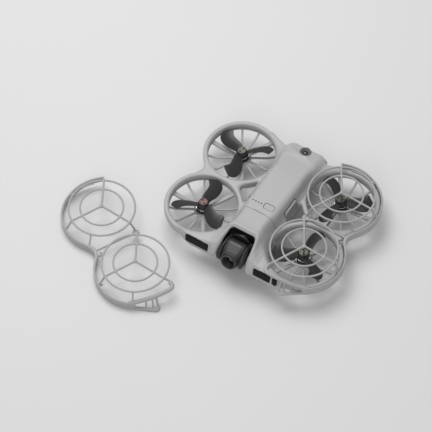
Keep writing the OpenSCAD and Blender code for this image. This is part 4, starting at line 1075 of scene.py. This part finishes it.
def rearLensField(x, y, z):
    s = rearLensForm
    r = np.hypot(x, y - s["y"])
    ring = cappedTube(r, z, s["ring"], s["foot"], s["top"], 0.5)
    step = np.maximum(r - s["step"], s["top"] - 0.5 - z)
    cone = np.maximum(r - s["glass"] - 0.9 * (z - 29.6), 29.6 - z)
    return np.maximum(ring, -np.minimum(step, cone))


def rearGlassField(x, y, z):
    # small dome
    r = np.hypot(x, y - rearLensForm["y"])
    dome = np.maximum(np.sqrt(r ** 2 + (z - 26.9) ** 2) - 3.5, r - rearLensForm["glass"] + 0.05)
    return np.maximum(dome, 29.4 - z)


def buttonField(x, y, z):
    s = buttonForm
    bx, by, bz = buttonPlace(x, y, z)
    u = np.maximum(np.abs(bx) - s["halfX"] + s["round"], 0)
    v = np.maximum(np.abs(by) - s["halfY"] + s["round"], 0)
    return extruded(np.hypot(u, v) - s["round"], slab(bz, s["foot"], s["top"]), 0.35)


def latchField(x, y, z):
    # plate with cut ribs, and the stem that slides in the battery
    s = latchForm
    ax, y, z = np.abs(x), y - s["y"], z - s["z"]
    u, v = np.maximum(np.abs(y) - s["flatY"], 0), np.maximum(np.abs(z) - s["flatZ"], 0)
    plate = extruded(np.hypot(u, v) - s["round"], slab(ax, s["inner"], s["outer"]), 0.5)
    patch = np.maximum(slab(ax, s["ribFoot"], 20), np.hypot(y * 0.8, z) - 3.6)
    ribs = np.maximum(np.abs(np.mod(y, s["ribs"]) - s["ribs"] / 2) - 0.25, patch)
    stem = np.maximum(np.hypot(y, z) - s["stem"], slab(ax, s["stemEnd"], s["stemTop"]))
    return np.minimum(smax(plate, -ribs, 0.1), stem)


def ledField(x, y, z):
    s = lightForm
    spots = [np.hypot(x - at, y - s["y"]) for at in s["across"]]
    return joined([cappedTube(spot, z, s["radius"], s["foot"], s["top"], 0.2) for spot in spots], 0.01)


# ends of the windows' and of the latches' grids on each side
sideSpans = {"left": ((-46, -22), (-19.2, -13)), "right": ((22, 46), (13, 19.2))}
for name, (pane, latch) in sideSpans.items():
    side = name.capitalize()
    skinPiece("frontWindow" + side, windowField, (pane[0], -70.2, 19.7), (pane[1], -68.6, 28.9), 0.25,
              "window", "frame", ["front_window_" + name])
    skinPiece("batteryLatch" + side, latchField, (latch[0], -9.2, 17), (latch[1], 10.2, 30.8), 0.3,
              "latch", "battery_latch_" + name, ["battery_latch_" + name])
skinPiece("rearLensRing", rearLensField, (-5.1, 51.8, 20.3), (5.1, 62.2, 31.6), 0.25,
          "lensRing", "frame", ["rear_lens_housing"])
skinPiece("rearLensGlass", rearGlassField, (-2.4, 54.6, 29.2), (2.4, 59.4, 30.6), 0.15,
          "lens", "frame", ["rear_lens_glass"])
skinPiece("powerButton", buttonField, (0.3, -18.2, 36.9), (10.3, -11.8, 39.6), 0.2,
          "button", "power_button", ["power_button"])
skinPiece("batteryLights", ledField, (-11.3, -15.8, 30.5), (-1.6, -14.2, 39.2), 0.16,
          "led", "battery", ["led_lenses"])
print("small pieces done")

# finishes of the CAD nodes, by the start of their names

cadFinish = {
    "grille": "grille", "frame_screws": "screw", "front_window": "window", "rear_lens_housing": "lensRing",
    "rear_lens_glass": "lens", "belly_sensor": "window", "usb_socket": "socket", "main_board": "board",
    "heat_sink": "sink", "gnss": "ceramic", "battery_contacts": "contact", "roll_motor": "gimbal",
    "gimbal_yoke": "gimbal", "tilt_motor": "gimbal", "camera_housing": "camera", "lens_barrel": "gimbal",
    "lens_bezel": "bezel", "lens_glass": "lens", "image_sensor": "board", "battery_cells": "cell",
    "battery_board": "board", "led_lenses": "led", "power_button": "button", "battery_latch": "latch",
    "motor_stator": "stator", "rotor_bell": "bell", "propeller": "propeller", "rotor_cap": "capGrey",
    "rotor_cap_front_left": "capWarm", "cap_screws": "screw", "guard": "guard", "upper_frame": "body",
    "lower_frame": "belly", "battery_shell": "battery",
}
for node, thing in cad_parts.items():
    match = max((k for k in cadFinish if node.startswith(k)), key=len)
    thing.data.materials.clear()
    thing.data.materials.append(finishes[cadFinish[match]])

# stage

# places and sizes in metres, power in watts
lamps = {"softTop": {"place": (-0.42, 0.22, 1.1), "size": 0.8, "power": 8.3},
         "softFront": {"place": (0.25, -1.0, 0.95), "size": 0.8, "power": 3.0}}
stage = {"worldStrength": 0.36, "floorHalf": 40, "floorDark": (0.78, 0.78, 0.78), "floorLight": (0.8, 0.8, 0.8)}


def makeLamp(name, place, size, power, aim=(0, 0, 0)):
    data = bpy.data.lights.new(name, "AREA")
    data.shape, data.size, data.energy = "SQUARE", size, power
    lamp = bpy.data.objects.new(name, data)
    bpy.context.scene.collection.objects.link(lamp)
    lamp.location = place
    lamp.rotation_mode = "QUATERNION"
    lamp.rotation_quaternion = (Vector(aim) - Vector(place)).to_track_quat("-Z", "Y")


def makeFloor():
    half = stage["floorHalf"]
    mesh = bpy.data.meshes.new("floor")
    outline = [(-half, -half, 0), (half, -half, 0), (half, half, 0), (-half, half, 0)]
    mesh.from_pydata(outline, [], [(0, 1, 2, 3)])
    floor = bpy.data.objects.new("floor", mesh)
    bpy.context.scene.collection.objects.link(floor)
    f = Finish("floor_paper")
    paper = f.shade(f.noise(3, 2), stage["floorDark"], stage["floorLight"])
    mesh.materials.append(f.set(Base_Color=paper, Roughness=0.9, Specular_IOR_Level=0.1))
    floor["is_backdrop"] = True


def makeWorld():
    world = bpy.data.worlds.new("studio")
    bpy.context.scene.world = world
    world.use_nodes = True
    back = world.node_tree.nodes["Background"]
    back.inputs["Color"].default_value = (1, 1, 1, 1)
    back.inputs["Strength"].default_value = stage["worldStrength"]


makeFloor()
makeWorld()
for name, lamp in lamps.items():
    makeLamp(name, **lamp)
bpy.context.scene.view_settings.view_transform = "Standard"
print("stage set")

low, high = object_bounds()
